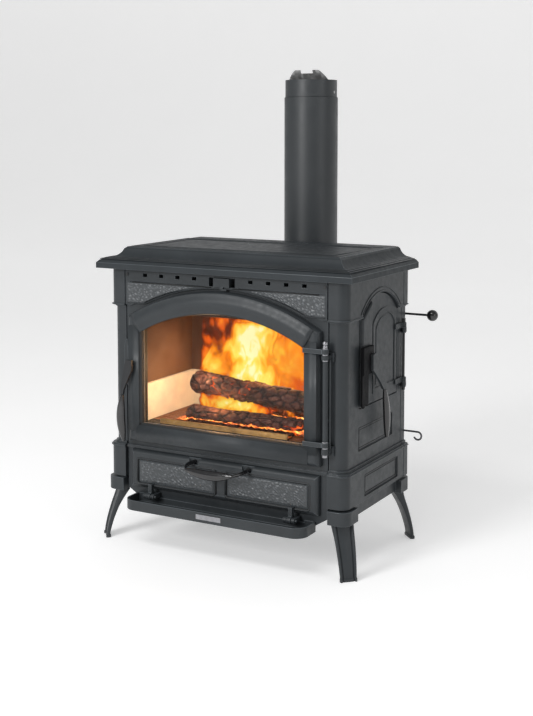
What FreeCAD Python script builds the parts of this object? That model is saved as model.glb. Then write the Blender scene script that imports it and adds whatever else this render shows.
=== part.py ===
"""Cast-iron wood burning stove with a rear flue, a glazed front door, a side loading door,
an ash door, a front tray and four splayed legs.

X is to the right of someone facing the stove, the front faces -Y and +Z is up. Every outline below
is drawn about the middle of the stove, and each piece is then placed so that the origin is on the
floor under the middle of the whole object's box. All sizes are in millimetres.
"""
import FreeCAD, Part
import math
import os
import re

import Sketcher

Vector = FreeCAD.Vector

DIMENSIONS = {
    # overall box: how far the middle of the box lies from the middle of the stove
    "origin_x": 25.6,
    "origin_y": 63.7,
    # top plate
    "plate_width": 740,
    "plate_depth": 412,
    "plate_bottom": 722,
    "lip_height": 14.5,
    "deck_top": 776.5,
    "deck_inset": 66,
    "cover_radius": 80,
    "cover_y": 112,
    # body shell
    "side_face": 338,
    "front_face": 174.5,
    "rear_face": 195,
    "wall_thick": 16,
    "plate_back": 160,
    "joint_x": 293.5,
    "joint_gap": 3,
    "corner_round": 26,
    "rear_joint": 166.5,
    "base_bottom": 169,
    "base_top": 249,
    "body_bottom": 262,
    "body_top": 621,
    "base_proud": 10,
    "frieze_proud": 6.5,
    # floor frame and legs
    "skirt_bottom": 136,
    "skirt_top": 165,
    "block_proud": 16,
    "leg_top": 131,
    "foot_reach": 357,
    "foot_front": 187,
    "foot_rear": 196,
    "foot_width": 42,
    "foot_thick": 10,
    "hip_width": 56,
    "hip_thick": 30,
    # main door
    "door_half": 279,
    "door_bottom": 270,
    "door_spring": 600,
    "door_crown": 679,
    "door_back": 176,
    "door_front": 199,
    "sight_half": 236,
    "sight_bottom": 321,
    "sight_spring": 567,
    "sight_crown": 620,
    "glass_thick": 4,
    # main door hinge
    "pin_x": 296,
    "pin_y": 196,
    "pin_radius": 4,
    "upper_arm": 549,
    "lower_arm": 322,
    "arm_height": 12,
    "running_gap": 0.05,
    # main handle
    "latch_x": 262,
    "latch_z": 475,
    "keeper_bottom": 416,
    "keeper_top": 536,
    # ash door
    "ash_half": 275,
    "ash_bottom": 147,
    "ash_top": 247,
    "ash_front": 192,
    "strap_x": 206,
    "ash_pin_y": 206,
    "ash_pin_z": 133,
    "opening_half": 240,
    "opening_bottom": 176,
    "opening_top": 236,
    "pan_half": 222,
    "pan_front": 150,
    "pan_rear": 110,
    "pan_top": 232,
    # front tray
    "tray_half": 262,
    "tray_front": 250,
    "tray_bottom": 103.5,
    "tray_top": 130,
    "tray_round": 34,
    "sheet_thick": 4,
    # air slider
    "vent_z": 707,
    "vent_first": 82,
    "vent_step": 50,
    "groove_z": 688,
    # side door
    "port_front": 93,
    "port_rear": 141,
    "port_bottom": 399,
    "port_spring": 621,
    "port_crown": 677,
    "port_gap": 3,
    "side_pin_x": 346,
    "side_pin_y": 166,
    "side_pin_radius": 3,
    "side_latch_y": 52,
    "side_latch_z": 512,
    "side_lower_arm": 424,
    "side_upper_arm": 568,
    # firebox
    "firebox_half": 250,
    "firebox_rear": 85,
    "firebox_floor": 316,
    "brick_top": 415,
    "liner_top": 600,
    "grate_half": 110,
    "grate_front": 96,
    "grate_rear": 44,
    "slot_width": 14,
    "slot_pitch": 28,
    "retainer_left": 206,
    "retainer_right": 172,
    # flue
    "flue_y": 308,
    "flue_z": 599,
    "pipe_radius": 75,
    "branch_radius": 73,
    "pipe_wall": 2,
    "pipe_top": 1173,
    "collar_radius": 72.5,
    "sleeve_radius": 70.3,
    "sleeve_wall": 1.1,
    "collar_top": 1221,
    "damper_z": 1187,
    "damper_tilt": 64,
    "gate_y": 201,
    "ball_x": 411.5,
    "wire_z": 285,
    "gate_left": 100,
    "gate_right": 216,
    "inlet_left": 70,
    "inlet_right": 110,
}

doc = FreeCAD.newDocument("WoodStove")
dims = doc.addObject("Spreadsheet::Sheet", "dims")
for row, (alias, amount) in enumerate(DIMENSIONS.items(), start=1):
    dims.set(f"A{row}", alias)
    dims.set(f"B{row}", str(amount))
    dims.setAlias(f"B{row}", alias)
doc.recompute()

corner_of = {}
ALIAS = re.compile(r"\b(" + "|".join(sorted(DIMENSIONS, key=len, reverse=True)) + r")\b")
pieces = []


def bound(expression):
    """The expression as another object of the document reads it from the sheet."""
    return ALIAS.sub(r"dims.\1", str(expression))


def size(expression):
    """The value of an expression, in millimetres."""
    return float(dims.evalExpression(str(expression)))


def keep(obj, name):
    """Label a sub-part, set it in the object's frame and list it for the export."""
    obj.Label = name
    corner = corner_of.get(obj.Name, {})
    for axis in "xy":
        expression = f"({corner.get(axis, 0)}) - origin_{axis}"
        obj.setExpression(f"Placement.Base.{axis}", bound(expression))
    pieces.append(obj)
    return obj


def new_body(name):
    return doc.addObject("PartDesign::Body", name)


def plane_of(body, role):
    return [feature for feature in body.Origin.OriginFeatures if feature.Role == role][0]


def sketch(body, role, offset):
    """A sketch on one of the body's own planes, moved along that plane's normal."""
    drawing = body.newObject("Sketcher::SketchObject", f"{body.Name}_sketch")
    drawing.AttachmentSupport = (plane_of(body, role), [""])
    drawing.MapMode = "FlatFace"
    drawing.setExpression("AttachmentOffset.Base.z", bound(offset))
    return drawing


def pin_point(drawing, index, end, point):
    """Hold one end of a line or arc at coordinates that come from the sheet."""
    for kind, expression in zip(("DistanceX", "DistanceY"), point):
        number = drawing.addConstraint(
            Sketcher.Constraint(kind, -1, 1, index, end, size(expression))
        )
        drawing.setExpression(f"Constraints[{number}]", bound(expression))


def outline(drawing, points, arcs=None):
    """A closed outline; arcs gives the point that the span after a corner bends through."""
    arcs = arcs or {}
    corners = [Vector(size(a), size(b), 0) for a, b in points]
    count = len(corners)
    first = len(drawing.Geometry)
    ends = []
    for number in range(count):
        start, stop = corners[number], corners[(number + 1) % count]
        if number not in arcs:
            drawing.addGeometry(Part.LineSegment(start, stop))
            ends.append((1, 2))
            continue
        # a sketch keeps every arc counter-clockwise, so one that runs clockwise is drawn backwards
        middle = Vector(size(arcs[number][0]), size(arcs[number][1]), 0)
        if (middle - start).cross(stop - middle).z > 0:
            drawing.addGeometry(Part.Arc(start, middle, stop))
            ends.append((1, 2))
        else:
            drawing.addGeometry(Part.Arc(stop, middle, start))
            ends.append((2, 1))
    for number in range(count):
        follower = (number + 1) % count
        drawing.addConstraint(
            Sketcher.Constraint(
                "Coincident", first + number, ends[number][1], first + follower, ends[follower][0]
            )
        )
        pin_point(drawing, first + number, ends[number][0], points[number])
    for number, middle in arcs.items():
        mark = drawing.addGeometry(Part.Point(Vector(size(middle[0]), size(middle[1]), 0)), True)
        pin_point(drawing, mark, 1, middle)
        drawing.addConstraint(Sketcher.Constraint("PointOnObject", mark, 1, first + number))


def circle(drawing, point, radius):
    spot = Vector(size(point[0]), size(point[1]), 0)
    index = drawing.addGeometry(Part.Circle(spot, Vector(0, 0, 1), size(radius)))
    pin_point(drawing, index, 3, point)
    number = drawing.addConstraint(Sketcher.Constraint("Radius", index, size(radius)))
    drawing.setExpression(f"Constraints[{number}]", bound(radius))


def draw(drawing, shapes):
    """Each shape is a list of corners, a (corners, arcs) pair or ('circle', point, radius)."""
    for shape in shapes:
        if shape[0] == "circle":
            circle(drawing, shape[1], shape[2])
        elif isinstance(shape, tuple):
            outline(drawing, shape[0], shape[1])
        else:
            outline(drawing, shape)


def pad(body, role, shapes, start, stop):
    """Fill the shapes from start to stop along the axis that the plane faces."""
    offset = f"-({stop})" if role == "XZ_Plane" else start
    drawing = sketch(body, role, offset)
    draw(drawing, shapes)
    feature = body.newObject("PartDesign::Pad", f"{body.Name}_pad")
    feature.Profile = drawing
    feature.setExpression("Length", bound(f"({stop}) - ({start})"))
    return feature


def pocket(body, role, shapes, start, stop):
    """Cut the shapes away from start to stop along the axis that the plane faces."""
    offset = f"-({start})" if role == "XZ_Plane" else stop
    drawing = sketch(body, role, offset)
    draw(drawing, shapes)
    doc.recompute()
    before = body.Shape.Volume
    feature = body.newObject("PartDesign::Pocket", f"{body.Name}_pocket")
    feature.Profile = drawing
    feature.setExpression("Length", bound(f"({stop}) - ({start})"))
    doc.recompute()
    if not body.Shape.Volume < before - 1e-3:
        raise RuntimeError(f"a pocket of {body.Name} cuts nothing")
    return feature


def loft(body, role, levels, kind="PartDesign::AdditiveLoft"):
    """A ruled loft through (shape, coordinate) levels along the axis that the plane faces."""
    drawings = []
    for shape, level in levels:
        drawing = sketch(body, role, f"-({level})" if role == "XZ_Plane" else level)
        draw(drawing, [shape])
        drawings.append(drawing)
    doc.recompute()
    feature = body.newObject(kind, f"{body.Name}_loft")
    feature.Profile = drawings[0]
    feature.Sections = drawings[1:]
    feature.Ruled = True
    doc.recompute()
    return feature


def soften(body, chosen, radius, kind="PartDesign::Fillet"):
    """Round or bevel the body's edges that the test picks."""
    doc.recompute()
    names = [f"Edge{n}" for n, edge in enumerate(body.Shape.Edges, start=1) if chosen(edge)]
    if not names:
        raise RuntimeError(f"no edge of {body.Name} is rounded")
    feature = body.newObject(kind, f"{body.Name}_soft")
    feature.Base = (body.Tip if body.Tip != feature else body.Group[-2], names)
    feature.setExpression("Radius" if kind.endswith("Fillet") else "Size", bound(radius))
    doc.recompute()
    return feature


def set_corner(piece, axis, expression):
    corner_of.setdefault(piece.Name, {})[axis] = expression
    piece.setExpression(f"Placement.Base.{axis}", bound(expression))


def box(left, front, bottom, right, rear, top):
    """A Part::Box between two corners given as expressions."""
    piece = doc.addObject("Part::Box", "box")
    spans = (("Length", left, right, "x"), ("Width", front, rear, "y"), ("Height", bottom, top, "z"))
    for length, low, high, axis in spans:
        piece.setExpression(length, bound(f"({high}) - ({low})"))
        set_corner(piece, axis, low)
    return piece


AXIS_TURN = {
    "x": FreeCAD.Rotation(Vector(0, 1, 0), 90),
    "y": FreeCAD.Rotation(Vector(1, 0, 0), -90),
    "z": FreeCAD.Rotation(),
}


def rod(axis, centre, start, stop, radius, far_radius=None):
    """A Part::Cylinder, or a Part::Cone, along one axis; centre is the other two coordinates."""
    kind = "Part::Cylinder" if far_radius is None else "Part::Cone"
    piece = doc.addObject(kind, "rod")
    piece.Placement = FreeCAD.Placement(Vector(), AXIS_TURN[axis])
    others = [name for name in "xyz" if name != axis]
    set_corner(piece, axis, start)
    for name, expression in zip(others, centre):
        set_corner(piece, name, expression)
    if far_radius is None:
        piece.setExpression("Radius", bound(radius))
    else:
        piece.setExpression("Radius1", bound(radius))
        piece.setExpression("Radius2", bound(far_radius))
    piece.setExpression("Height", bound(f"({stop}) - ({start})"))
    return piece


def ball(point, radius):
    piece = doc.addObject("Part::Sphere", "ball")
    piece.setExpression("Radius", bound(radius))
    for name, expression in zip("xyz", point):
        set_corner(piece, name, expression)
    return piece


def fuse(*parts):
    joined = doc.addObject("Part::MultiFuse", "fuse")
    joined.Shapes = list(parts)
    return joined


def cut(base, *tools):
    remaining = doc.addObject("Part::Cut", "cut")
    remaining.Base = base
    remaining.Tool = tools[0] if len(tools) == 1 else fuse(*tools)
    return remaining


def shaped(name, shape):
    """A sub-part whose form needs Part's own functions, sized from the sheet in this file."""
    piece = doc.addObject("Part::Feature", name)
    piece.Shape = shape
    corner_of[piece.Name] = {"x": shape.Placement.Base.x, "y": shape.Placement.Base.y}
    return keep(piece, name)


def rectangle(left, low, right, high):
    return [(left, low), (right, low), (right, high), (left, high)]


def arched(left, low, right, spring, crown):
    """A doorway outline: straight sides up to the spring, then one arc over the crown."""
    corners = [(left, low), (right, low), (right, spring), (left, spring)]
    return corners, {2: (f"(({left}) + ({right})) / 2", crown)}


def on_plane(axis, coordinate):
    """Picks edges that lie in the plane where the axis has the coordinate."""
    value = size(coordinate)
    return lambda edge: (
        abs(getattr(edge.BoundBox, axis + "Min") - value) < 0.01
        and abs(getattr(edge.BoundBox, axis + "Max") - value) < 0.01
    )


# ---------------------------------------------------------------- top plate
# Lip, bevel and cove as seen on the plate's cut edge; distances are from the lip inwards.
LIP_PROFILE = [
    ("0", "plate_bottom"),
    ("0", "plate_bottom + lip_height"),
    ("7", "deck_top - 33"),
    ("13", "deck_top - 31"),
    ("14", "deck_top - 29.6"),
    ("21", "deck_top - 28.6"),
    ("22", "deck_top - 27.2"),
    ("30", "deck_top - 26"),
    ("53", "deck_top - 5.5"),
    ("deck_inset - 9", "deck_top - 2.4"),
    ("deck_inset - 8", "deck_top - 1.2"),
    ("deck_inset - 1", "deck_top - 1"),
    ("deck_inset", "deck_top"),
]
COVE_SPAN = 7
COVE_MIDDLE = ("43.5", "deck_top - 19.5")


def plate_outline(half, both_sides):
    """The plate's outline across one direction, moulded on one side or on both."""
    near = [(f"-({half}) + ({inset})", level) for inset, level in LIP_PROFILE]
    bend = (f"-({half}) + ({COVE_MIDDLE[0]})", COVE_MIDDLE[1])
    if both_sides:
        far = [(f"({half}) - ({inset})", level) for inset, level in reversed(LIP_PROFILE)]
        far_bend = (f"({half}) - ({COVE_MIDDLE[0]})", COVE_MIDDLE[1])
        last = 2 * len(LIP_PROFILE) - 2 - COVE_SPAN
        return near + far, {COVE_SPAN: bend, last: far_bend}
    return near + [(half, "deck_top"), (half, "plate_bottom")], {COVE_SPAN: bend}


lengthwise = new_body("plate_lengthwise")
pad(lengthwise, "YZ_Plane", [plate_outline("plate_depth / 2", False)], "-plate_width / 2", "plate_width / 2")
crosswise = new_body("plate_crosswise")
pad(crosswise, "XZ_Plane", [plate_outline("plate_width / 2", True)], "-plate_depth / 2", "plate_depth / 2")
mitred = doc.addObject("Part::MultiCommon", "mitred")
mitred.Shapes = [lengthwise, crosswise]
hollow = box("-plate_width / 2 + deck_inset", "-plate_depth / 2 + deck_inset", "plate_bottom - 1",
             "plate_width / 2 - deck_inset", "plate_depth / 2 - 25", "deck_top - 14")
cover_seat = rod("z", ("0", "cover_y"), "deck_top - 5", "deck_top + 1", "cover_radius + 0.6")
cover_hole = rod("z", ("0", "cover_y"), "deck_top - 20", "deck_top", "cover_radius - 7")
keep(cut(mitred, hollow, cover_seat, cover_hole), "top_plate")

cover_disc = rod("z", ("0", "cover_y"), "deck_top - 5", "deck_top", "cover_radius")
cover_boss = rod("z", ("0", "cover_y"), "deck_top - 9", "deck_top - 5", "cover_radius - 8")
lift_notch = box("-cover_radius - 1", "cover_y + 4", "deck_top - 2.5",
                 "-cover_radius + 6", "cover_y + 14", "deck_top + 1")
keep(cut(fuse(cover_disc, cover_boss), lift_notch), "blanking_cover")

# ---------------------------------------------------------------- body shell
# Bands of the castings from the floor frame up: bottom, top and how far each stands proud.
BANDS = [
    ("base_bottom", "base_top", "base_proud"),
    ("base_top", "base_top + 3", "base_proud + 3"),
    ("base_top + 3", "base_top + 7", "base_proud"),
    ("base_top + 7", "body_bottom", "base_proud - 6"),
    ("body_bottom", "body_top", "0"),
    ("body_top", "body_top + 4", "frieze_proud / 2"),
    ("body_top + 4", "body_top + 7", "frieze_proud + 3"),
    ("body_top + 7", "plate_bottom", "frieze_proud"),
]


def side_casting(name, hand):
    """A side wall that wraps round the front corner; hand is 1 on the right and -1 on the left."""
    body = new_body(name)
    outer, inner, edge = "side_face", "side_face - wall_thick", "joint_x + joint_gap"
    for low, high, proud in BANDS:
        face = f"{hand} * ({outer} + {proud})"
        front = f"-(front_face + {proud})"
        bend = "corner_round * 0.29289"
        corners = [
            (f"{hand} * ({edge})", "-plate_back"),
            (f"{hand} * ({edge})", front),
            (f"{hand} * ({outer} + {proud} - corner_round)", front),
            (face, f"{front} + corner_round"),
            (face, "rear_joint"),
            (f"{hand} * ({inner})", "rear_joint"),
            (f"{hand} * ({inner})", "-plate_back"),
        ]
        arc = {2: (f"{hand} * ({outer} + {proud} - {bend})", f"{front} + {bend}")}
        pad(body, "XY_Plane", [(corners, arc)], low, high)
    near, far = f"{hand} * ({outer} - 2.5)", f"{hand} * ({outer} + 1)"
    recess = rectangle("-port_front", "295", "111", "353")
    pocket(body, "YZ_Plane", [recess], *((near, far) if hand > 0 else (far, near)))
    near, far = f"{hand} * ({outer} + base_proud - 3)", f"{hand} * ({outer} + base_proud + 1)"
    recess = rectangle("-77", "180", "127", "234")
    pocket(body, "YZ_Plane", [recess], *((near, far) if hand > 0 else (far, near)))
    return body


right_side = side_casting("side_right", 1)
port = arched("-port_front", "port_bottom", "port_rear", "port_spring", "port_crown")
pocket(right_side, "YZ_Plane", [port], "side_face - wall_thick - 1", "side_face + 12")
keep(right_side, "side_right")

left_side = side_casting("side_left", -1)
port = arched("-port_front", "port_bottom", "port_rear", "port_spring", "port_crown")
pocket(left_side, "YZ_Plane", [port], "-side_face - 12", "-side_face + 4")
raised = arched("-port_front + 24", "port_bottom + 24", "port_rear - 24", "port_spring - 14",
                "port_crown - 24")
pad(left_side, "YZ_Plane", [raised], "-side_face + 1", "-side_face + 4")
keep(left_side, "side_left")

# Front plate: the door opening, the ash opening, the air vents and the lower corners cut off.
front_plate = new_body("front_plate")
lower_corners = [
    ("-joint_x + 36", "117"),
    ("joint_x - 36", "117"),
    ("joint_x", "139"),
    ("joint_x", "plate_bottom"),
    ("-joint_x", "plate_bottom"),
    ("-joint_x", "139"),
]
pad(front_plate, "XZ_Plane", [lower_corners], "-front_face", "-plate_back")
frieze = (
    [
        ("-joint_x", "body_top + 7"),
        ("-door_half", "body_top + 5"),
        ("door_half", "body_top + 5"),
        ("joint_x", "body_top + 7"),
        ("joint_x", "plate_bottom"),
        ("-joint_x", "plate_bottom"),
    ],
    {1: ("0", "door_crown + 6")},
)
pad(front_plate, "XZ_Plane", [frieze], "-front_face - frieze_proud", "-front_face")
rail = rectangle("-joint_x", "base_top - 1", "joint_x", "base_top + 7")
pad(front_plate, "XZ_Plane", [rail], "-front_face - 5", "-front_face")
mouth = arched("-sight_half - 4", "firebox_floor", "sight_half + 4", "sight_spring + 4", "sight_crown + 6")
pocket(front_plate, "XZ_Plane", [mouth], "-front_face - 1", "-plate_back + 1")
pocket(front_plate, "XZ_Plane", [rectangle("-opening_half", "opening_bottom", "opening_half",
                                           "opening_top")], "-front_face - 1",
       "-plate_back + 1")
VENT_HALF_WIDTH, VENT_HALF_HEIGHT = 6.5, 4.5
vents = []
for side in (-1, 1):
    for number in range(4):
        middle = f"{side} * (vent_first + {number} * vent_step)"
        vents.append(rectangle(
            f"{middle} - {VENT_HALF_WIDTH}", f"vent_z - {VENT_HALF_HEIGHT}",
            f"{middle} + {VENT_HALF_WIDTH}", f"vent_z + {VENT_HALF_HEIGHT}"))
vents.append(rectangle("-38", "690", "38", "713"))
pocket(front_plate, "XZ_Plane", vents, "-front_face - frieze_proud - 1", "-plate_back + 1")
groove = rectangle("-joint_x + 14", "groove_z", "-48", "groove_z + 2")
groove_right = rectangle("48", "groove_z", "joint_x - 6", "groove_z + 2")
pocket(front_plate, "XZ_Plane", [groove, groove_right], "-front_face - frieze_proud - 1", "-front_face - 3")
keep(front_plate, "front_plate")

# Rear panel with its two corner pilasters, which carry the same bands as the sides.
rear_panel = new_body("rear_panel")
pad(rear_panel, "XZ_Plane", [rectangle("-side_face + wall_thick", "base_bottom",
                                       "side_face - wall_thick", "plate_bottom")],
    "rear_face - 10", "rear_face")
for hand in (-1, 1):
    for low, high, proud in BANDS:
        inner = f"{hand} * (side_face - wall_thick)"
        outer = f"{hand} * (side_face + {proud})"
        left, right = (inner, outer) if hand > 0 else (outer, inner)
        pad(rear_panel, "XY_Plane", [rectangle(left, "rear_joint + joint_gap", right, "rear_face")],
            low, high)
pocket(rear_panel, "XZ_Plane", [("circle", ("0", "flue_z"), "pipe_radius - 5"),
                                rectangle("-45", "wire_z - 25", "45", "wire_z + 25")],
       "rear_face - 11", "rear_face + 1")
keep(rear_panel, "rear_panel")

# Backing strips that close the joint between the front plate and each side.
strips = []
for low, high in (("-joint_x - joint_gap - 8", "-joint_x + 8"), ("joint_x - 8", "joint_x + joint_gap + 8")):
    strips.append(box(low, "-plate_back", "skirt_top + 9", high, "-plate_back + 4", "plate_bottom - 4"))
keep(fuse(*strips), "joint_seals")

# ---------------------------------------------------------------- floor frame and legs
bottom_plate = new_body("bottom_plate")
pad(bottom_plate, "XY_Plane", [rectangle("-side_face + wall_thick", "-plate_back + 4.5",
                                         "side_face - wall_thick", "rear_face - 10")],
    "skirt_top", "skirt_top + 8")

base_frame = new_body("frame_ring")
pad(base_frame, "XY_Plane",
    [rectangle("-side_face", "-plate_back + 4.5", "side_face", "rear_face"),
     rectangle("-side_face + 14", "-plate_back + 16", "side_face - 14", "rear_face - 14")],
    "skirt_bottom", "skirt_top")
for right_hand in (-1, 1):
    for front_hand in (-1, 1):
        reach = "front_face + block_proud" if front_hand < 0 else "rear_face + block_proud - 6"
        inner_x, outer_x = f"{right_hand} * 300", f"{right_hand} * (side_face + block_proud)"
        inner_y, outer_y = f"{front_hand} * ({reach} - 64)", f"{front_hand} * ({reach})"
        bend = "corner_round * 0.29289"
        corners = [
            (inner_x, inner_y),
            (inner_x, outer_y),
            (f"{outer_x} - {right_hand} * corner_round", outer_y),
            (outer_x, f"{outer_y} - {front_hand} * corner_round"),
            (outer_x, inner_y),
        ]
        arc = {2: (f"{outer_x} - {right_hand} * {bend}", f"{outer_y} - {front_hand} * {bend}")}
        pad(base_frame, "XY_Plane", [(corners, arc)], "leg_top", "skirt_top")
keep(fuse(base_frame, bottom_plate), "base_frame")

# A leg is a stack of slabs that narrows, swings out and turns its face to the corner.
LEG_STATIONS = [
    # height, then how far the middle, the width and the thickness have gone from hip to foot
    (1.0, 0.0, 0.0, 0.0),
    (0.86, 0.2, 0.14, 0.4),
    (0.66, 0.48, 0.34, 0.72),
    (0.42, 0.74, 0.58, 0.88),
    (0.2, 0.92, 0.8, 0.97),
    (0.07, 0.99, 0.93, 1.0),
    (0.055, 1.0, 0.8, 0.8),
    (0.0, 1.0, 0.8, 0.8),
]
HIP_X, HIP_INSET = 325, 33


def leg(name, right_hand, front_hand):
    foot_y = size("foot_front") if front_hand < 0 else size("foot_rear")
    corner_y = size("front_face + block_proud") if front_hand < 0 else size("rear_face + block_proud - 6")
    hip = Vector(right_hand * HIP_X, front_hand * (corner_y - HIP_INSET), 0)
    foot = Vector(right_hand * size("foot_reach"), front_hand * foot_y, 0)
    outwards = Vector(right_hand, front_hand, 0).normalize()
    across = Vector(-outwards.y, outwards.x, 0)
    sections = []
    for level, reach, narrowed, thinned in LEG_STATIONS:
        middle = hip + (foot - hip) * reach + Vector(0, 0, level * size("leg_top"))
        width = size("hip_width") + (size("foot_width") - size("hip_width")) * narrowed
        thick = size("hip_thick") + (size("foot_thick") - size("hip_thick")) * thinned
        # the face is bowed towards the corner
        face = [
            middle - across * (width / 2) - outwards * (thick / 2),
            middle - across * (width / 2) + outwards * (thick / 4),
            middle - across * (width / 4) + outwards * (thick / 2),
            middle + across * (width / 4) + outwards * (thick / 2),
            middle + across * (width / 2) + outwards * (thick / 4),
            middle + across * (width / 2) - outwards * (thick / 2),
        ]
        sections.append(Part.makePolygon(face + face[:1]))
    shaped(name, Part.makeLoft(sections, True, True))


leg("leg_front_left", -1, -1)
leg("leg_front_right", 1, -1)
leg("leg_rear_left", -1, 1)
leg("leg_rear_right", 1, 1)

# ---------------------------------------------------------------- firebox
floor_plate = new_body("firebox_floor")
pad(floor_plate, "XY_Plane",
    [rectangle("-side_face + wall_thick + 1", "-plate_back + 4.5", "side_face - wall_thick - 1",
               "rear_joint"),
     rectangle("-grate_half", "-grate_front", "grate_half", "grate_rear")],
    "firebox_floor - 16", "firebox_floor")
keep(floor_plate, "firebox_floor")

grate = new_body("grate")
slots = []
for n in range(7):
    slot_left = f"-grate_half + 19 + slot_pitch * {n}"
    slots.append(rectangle(slot_left, "-grate_front + 12", f"{slot_left} + slot_width", "grate_rear - 12"))
grate_plate = rectangle("-grate_half + 0.5", "-grate_front + 0.5", "grate_half - 0.5", "grate_rear - 0.5")
pad(grate, "XY_Plane", [grate_plate] + slots,
    "firebox_floor - 14", "firebox_floor - 2")
keep(grate, "grate")

bricks = [
    box("-firebox_half - 25", "-plate_back + 10", "firebox_floor", "-firebox_half", "firebox_rear + 25",
        "brick_top"),
    box("firebox_half", "-plate_back + 10", "firebox_floor", "firebox_half + 25", "firebox_rear + 25",
        "brick_top"),
    box("-firebox_half", "firebox_rear", "firebox_floor", "firebox_half", "firebox_rear + 25", "brick_top"),
]
keep(fuse(*bricks), "firebricks")
liner_left = box("-firebox_half - 14", "-plate_back + 10", "brick_top",
                 "-firebox_half - 8", "firebox_rear", "liner_top")
liner_rear = box("-firebox_half - 14", "firebox_rear", "brick_top",
                 "firebox_half + 14", "firebox_rear + 6", "liner_top")
keep(box("-firebox_half - 14", "-plate_back + 50", "liner_top", "firebox_half + 14", "rear_joint - 30",
         "liner_top + 12"),
     "baffle")

# The throat carries the side opening from the casting to the firebox.
throat = new_body("side_throat")
pad(throat, "YZ_Plane",
    [arched("-port_front + 8", "brick_top", "port_rear - 8", "port_spring - 60", "liner_top - 2"),
     arched("-port_front + 20", "brick_top + 12", "port_rear - 62", "port_spring - 70", "liner_top - 14")],
    "firebox_half + 14.5", "side_face - wall_thick")
keep(throat, "side_throat")
liner_right = new_body("liner_right")
pad(liner_right, "YZ_Plane",
    [rectangle("-plate_back + 10", "brick_top", "firebox_rear", "liner_top"),
     arched("-port_front + 20", "brick_top + 12", "port_rear - 62", "port_spring - 70", "liner_top - 14")],
    "firebox_half + 8", "firebox_half + 14")
keep(fuse(liner_left, liner_rear, liner_right), "firebox_liner")

ash_pan = new_body("ash_pan")
pad(ash_pan, "XY_Plane", [rectangle("-pan_half", "-pan_front", "pan_half", "pan_rear")],
    "skirt_top + 8", "pan_top")
pan_inside = rectangle("-pan_half + 3", "-pan_front + 3", "pan_half - 3", "pan_rear - 3")
pocket(ash_pan, "XY_Plane", [pan_inside], "skirt_top + 12", "pan_top + 1")
keep(ash_pan, "ash_pan")

retainer = new_body("log_retainer")
pad(retainer, "YZ_Plane",
    [[("-156", "firebox_floor"), ("-128", "firebox_floor"), ("-128", "firebox_floor + 4"),
      ("-152", "firebox_floor + 4"), ("-148", "firebox_floor + 13"), ("-152", "firebox_floor + 13")]],
    "-retainer_left", "retainer_right")
keep(retainer, "log_retainer")

# ---------------------------------------------------------------- main door
# Rounded section of the door's moulding: inset from either edge, and depth below its crown.
MOULDING = [("0", "14"), ("1.5", "9"), ("5", "4.5"), ("10", "1.3"), ("16", "0")]
OUTER_MITRE, INNER_MITRE = 0.56, 0.63


def door_outline(inset):
    return arched(f"-door_half + {inset}", f"door_bottom + {inset}", f"door_half - {inset}",
                  f"door_spring - {inset} * {OUTER_MITRE}", f"door_crown - {inset}")


def sight_outline(growth):
    return arched(f"-sight_half - {growth}", f"sight_bottom - {growth}", f"sight_half + {growth}",
                  f"sight_spring + {growth} * {INNER_MITRE}", f"sight_crown + {growth}")


door_frame = new_body("door_frame")
outside = [(door_outline("0"), "-door_back")]
inside = [(sight_outline("0"), "-door_back + 1")]
for inset, depth in MOULDING:
    outside.append((door_outline(inset), f"-door_front + {depth}"))
    inside.append((sight_outline(inset), f"-door_front + {depth}"))
inside.append((sight_outline("18"), "-door_front - 1"))
loft(door_frame, "XZ_Plane", outside)
loft(door_frame, "XZ_Plane", inside, "PartDesign::SubtractiveLoft")
rebate = arched("-sight_half - 12", "sight_bottom - 12", "sight_half + 12", "sight_spring + 8",
                "sight_crown + 12")
pocket(door_frame, "XZ_Plane", [rebate], "-door_back - 9", "-door_back + 1")
spindle_hole = ("circle", ("-latch_x", "latch_z"), "7 + running_gap")
pocket(door_frame, "XZ_Plane", [spindle_hole], "-door_front - 1", "-door_back + 1")
keep(door_frame, "door_frame")

glass = new_body("door_glass")
pane = arched("-sight_half - 8", "sight_bottom - 8", "sight_half + 8", "sight_spring + 5", "sight_crown + 8")
pad(glass, "XZ_Plane", [pane], "-door_back - 9", "-door_back - 9 + glass_thick")
keep(glass, "door_glass")

rope = new_body("glass_seal")
inner_rope = arched("-sight_half - 1", "sight_bottom - 1", "sight_half + 1", "sight_spring + 1",
                    "sight_crown + 1")
pad(rope, "XZ_Plane", [pane, inner_rope], "-door_back - 9 + glass_thick", "-door_back - 1")
keep(rope, "glass_seal")


def hinge_arm(level):
    """A flat arm over the door's right stile, ending in an eye round the hinge pin."""
    strap = box("sight_half + 2", "-door_front - 4", level, "pin_x - 2", "-door_front",
                f"{level} + arm_height")
    eye = rod("z", ("pin_x", "-pin_y"), level, f"{level} + arm_height", "9")
    neck = box("door_half + 1.5", "-door_front - 4", level, "pin_x - 2", "-pin_y + 4",
               f"{level} + arm_height")
    bore = rod("z", ("pin_x", "-pin_y"), f"{level} - 1", f"{level} + arm_height + 1",
               "pin_radius + running_gap")
    return cut(fuse(strap, eye, neck), bore)


keep(fuse(hinge_arm("upper_arm"), hinge_arm("lower_arm")), "hinge_arms")


def hinge_bracket(low, high):
    """A fixed eye for the hinge pin, with its foot on the side casting's front face."""
    eye = rod("z", ("pin_x", "-pin_y"), low, high, "9")
    web = box("pin_x - 3", "-pin_y + 4", low, "pin_x + 10", "-front_face", high)
    foot = box("joint_x + joint_gap + 1", "-front_face - 7", f"{low} - 5", "side_face - corner_round",
               "-front_face",
               f"{high} + 5")
    bore = rod("z", ("pin_x", "-pin_y"), f"{low} - 1", f"{high} + 1", "pin_radius + running_gap")
    return cut(fuse(eye, web, foot), bore)


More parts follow.
